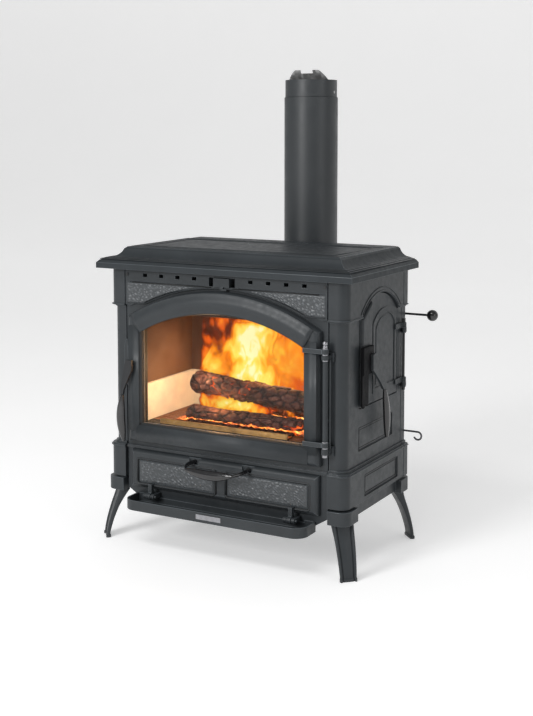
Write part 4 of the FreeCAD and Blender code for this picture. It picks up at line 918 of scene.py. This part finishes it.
# ---------------------------------------------------------------- logs, embers and flames
# name, the middles of its two ends, radius, and which part of the noise it is cut from
LOGS = [
    ("log_upper", (-172, -38, 410), (240, -70, 392), 29, 1.7),
    ("log_lower", (-152, -98, 333), (186, -92, 334), 24, 5.3),
    ("log_rear", (-120, 44, 345), (215, 30, 348), 28, 9.1),
]
LOG_FACETS, LOG_PITCH = 84, 2.6
# char blocks to the millimetre, along and round the log, and their cracks' width and depth
CHAR_ALONG, CHAR_ROUND, CRACK_WIDTH, CRACK_DEPTH = 0.03, 0.045, 0.16, 5.0
# a log's ends round off over this length, down to this share of its girth
LOG_END, LOG_TIP = 14.0, 0.55
LOG_SWAY = 5

# the ember bed: its left, right, front and rear, and its columns and rows
EMBER_AREA, EMBER_GRID = (-248.0, 248.0, -126.0, 83.0), (150, 64)
EMBER_LIFT, EMBER_HEIGHT, EMBER_LUMPS, EMBER_WARMTH = 1.5, 13, 6, 0.7
# where the mound begins at its left and ends at its right, and how wide its slopes are there
MOUND_LEFT, MOUND_RIGHT, LEFT_SLOPE, RIGHT_SLOPE = -215, 235, 90, 60

# a sheet of fire: its depth, left, right, foot and top, then its hot cores, each one's x, z,
# width, height and strength
FLAMES = [
    ("back", 60, -244, 200, 322, 599, [
        (-62, 525, 62, 100, 0.3), (45, 480, 150, 210, 0.66), (-150, 440, 70, 60, 0.3),
        (-205, 470, 36, 52, 0.42), (-150, 590, 70, 50, 0.22)]),
    ("middle", 4, -200, 246, 335, 592, [
        (-36, 480, 58, 100, 0.72), (0, 555, 66, 46, 0.5), (60, 420, 90, 46, 0.4),
        (-150, 455, 24, 50, 0.42), (-95, 350, 75, 24, 0.6), (-80, 420, 60, 30, 0.4)]),
    ("front", -66, -170, 215, 330, 392, [
        (-80, 368, 90, 18, 0.7), (40, 360, 70, 16, 0.5)]),
]
FLAME_GRID, FLAME_SWAY = (60, 48), 14
# share of a sheet's width and height over which it fades, and how far below nothing it fades
FADE_SIDE, FADE_TOP, FADE_DEPTH = 0.1, 0.12, 0.5


def add_log(name, start, stop, radius, seed):
    """A burnt log between two points: split char blocks, uneven girth and broken ends."""
    start, stop = Vector(start), Vector(stop)
    axis = (stop - start).normalized()
    up = (Vector((0, 0, 1)) - axis * axis.z).normalized()
    side = axis.cross(up)
    length = (stop - start).length
    rings, cracks = [], []
    for share in spread(0, 1, max(24, round(length / LOG_PITCH))):
        end = min(share, 1 - share) * length
        taper = math.sqrt(min(1.0, (end + 1.5) / LOG_END))
        sway = Vector((0, 0, 1)) * LOG_SWAY * noise.noise(Vector((share * 3, seed, 0)))
        ring = []
        for j in range(LOG_FACETS):
            angle = 2 * math.pi * j / LOG_FACETS
            place = Vector((share * length, radius * math.cos(angle), radius * math.sin(angle)))
            cell = Vector((place.x * CHAR_ALONG, place.y * CHAR_ROUND, place.z * CHAR_ROUND))
            near = noise.voronoi(cell + Vector((seed, 0, 0)))[0]
            block = smooth_step((near[1] - near[0]) / CRACK_WIDTH)
            girth = radius * (1 + 0.16 * noise.noise(place * 0.016 + Vector((0, seed, 0))))
            girth += 2.2 * noise.noise(place * 0.09) - CRACK_DEPTH * (1 - block)
            girth *= LOG_TIP + (1 - LOG_TIP) * taper
            arm = up * math.cos(angle) + side * math.sin(angle)
            ring.append(at(*(start + axis * share * length + sway + arm * girth)))
            cracks.append(1 - block)
        rings.append(ring)
    log = add_piece(name, "stove", "char", *closed_tube(rings))
    set_attribute(log, "crack", cracks)


def add_embers():
    """A bed of ash and coals on the firebox floor, hottest under the logs."""
    floor_z = span("firebricks")[0].z + EMBER_LIFT
    left, right, front, rear = EMBER_AREA
    columns, rows = EMBER_GRID
    vertices, warmth = [], []
    for x in spread(left, right, columns):
        mound = smooth_step((x - MOUND_LEFT) / LEFT_SLOPE)
        mound *= smooth_step((MOUND_RIGHT - x) / RIGHT_SLOPE)
        for y in spread(front, rear, rows):
            lumps = noise.noise(Vector((x * 0.05, y * 0.05, 0)))
            lumps += 0.6 * noise.noise(Vector((x * 0.16, y * 0.16, 2)))
            vertices.append(at(x, y, floor_z + mound * (EMBER_HEIGHT + EMBER_LUMPS * lumps)))
            warmth.append(EMBER_WARMTH * mound)
    bed = add_piece("ember_bed", "stove", "ember", vertices, grid_faces(columns + 1, rows + 1))
    set_attribute(bed, "warmth", warmth)


def add_flames(sheet, depth, left, right, low, high, cores):
    """A curved sheet of fire, warm round its hot cores and fading at its sides and top."""
    columns, rows = FLAME_GRID
    vertices, warmth = [], []
    for across in spread(0, 1, columns):
        x = left + (right - left) * across
        for rise in spread(0, 1, rows):
            z = low + (high - low) * rise
            sway = FLAME_SWAY * noise.noise(Vector((x * 0.012, z * 0.012, depth)))
            vertices.append(at(x, depth + sway, z))
            heat = 0.0
            for core_x, core_z, width, height, amount in cores:
                away = ((x - core_x) / width) ** 2 + ((z - core_z) / height) ** 2
                heat += amount * math.exp(-away)
            fade = smooth_step(across / FADE_SIDE) * smooth_step((1 - rise) / FADE_TOP)
            warmth.append(heat * fade - FADE_DEPTH * (1 - fade))
    faces = grid_faces(columns + 1, rows + 1)
    fire = add_piece(f"flames_{sheet}", "stove", f"flame_{sheet}", vertices, faces)
    set_attribute(fire, "warmth", warmth)


def add_fire():
    for log in LOGS:
        add_log(*log)
    add_embers()
    for sheet in FLAMES:
        add_flames(*sheet)
    add_fire_lights()


# ---------------------------------------------------------------- floor
FLOOR_REACH, FLOOR_BEND, FLOOR_CURVE, FLOOR_TOP = 14.0, 5.0, 3.0, 14.0


def add_floor():
    """A pale floor that curves up into a backdrop well behind the stove."""
    profile = [(-FLOOR_REACH, 0.0)]
    for angle in spread(0, math.pi / 2, 12):
        profile.append((FLOOR_BEND + FLOOR_CURVE * math.sin(angle),
                        FLOOR_CURVE * (1 - math.cos(angle))))
    profile.append((FLOOR_BEND + FLOOR_CURVE, FLOOR_TOP))
    vertices = [(x, y, z) for x in (-FLOOR_REACH, FLOOR_REACH) for y, z in profile]
    mesh = new_mesh("floor", "floor", vertices, grid_faces(2, len(profile)))
    smooth_faces(mesh)
    floor = add_object("floor", mesh)


# ---------------------------------------------------------------- putting it together
add_world()
add_camera()
add_floor()
add_studio_lights()
for node_name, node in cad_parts.items():
    finish_node(node_name, node)
add_spandrels()
add_ash_panels()
add_plate_lines()
add_arch_lines()
add_front_lines()
add_door_rolls()
add_side_outlines()
for leg_node in LEGS:
    add_leg(leg_node)
add_fire()
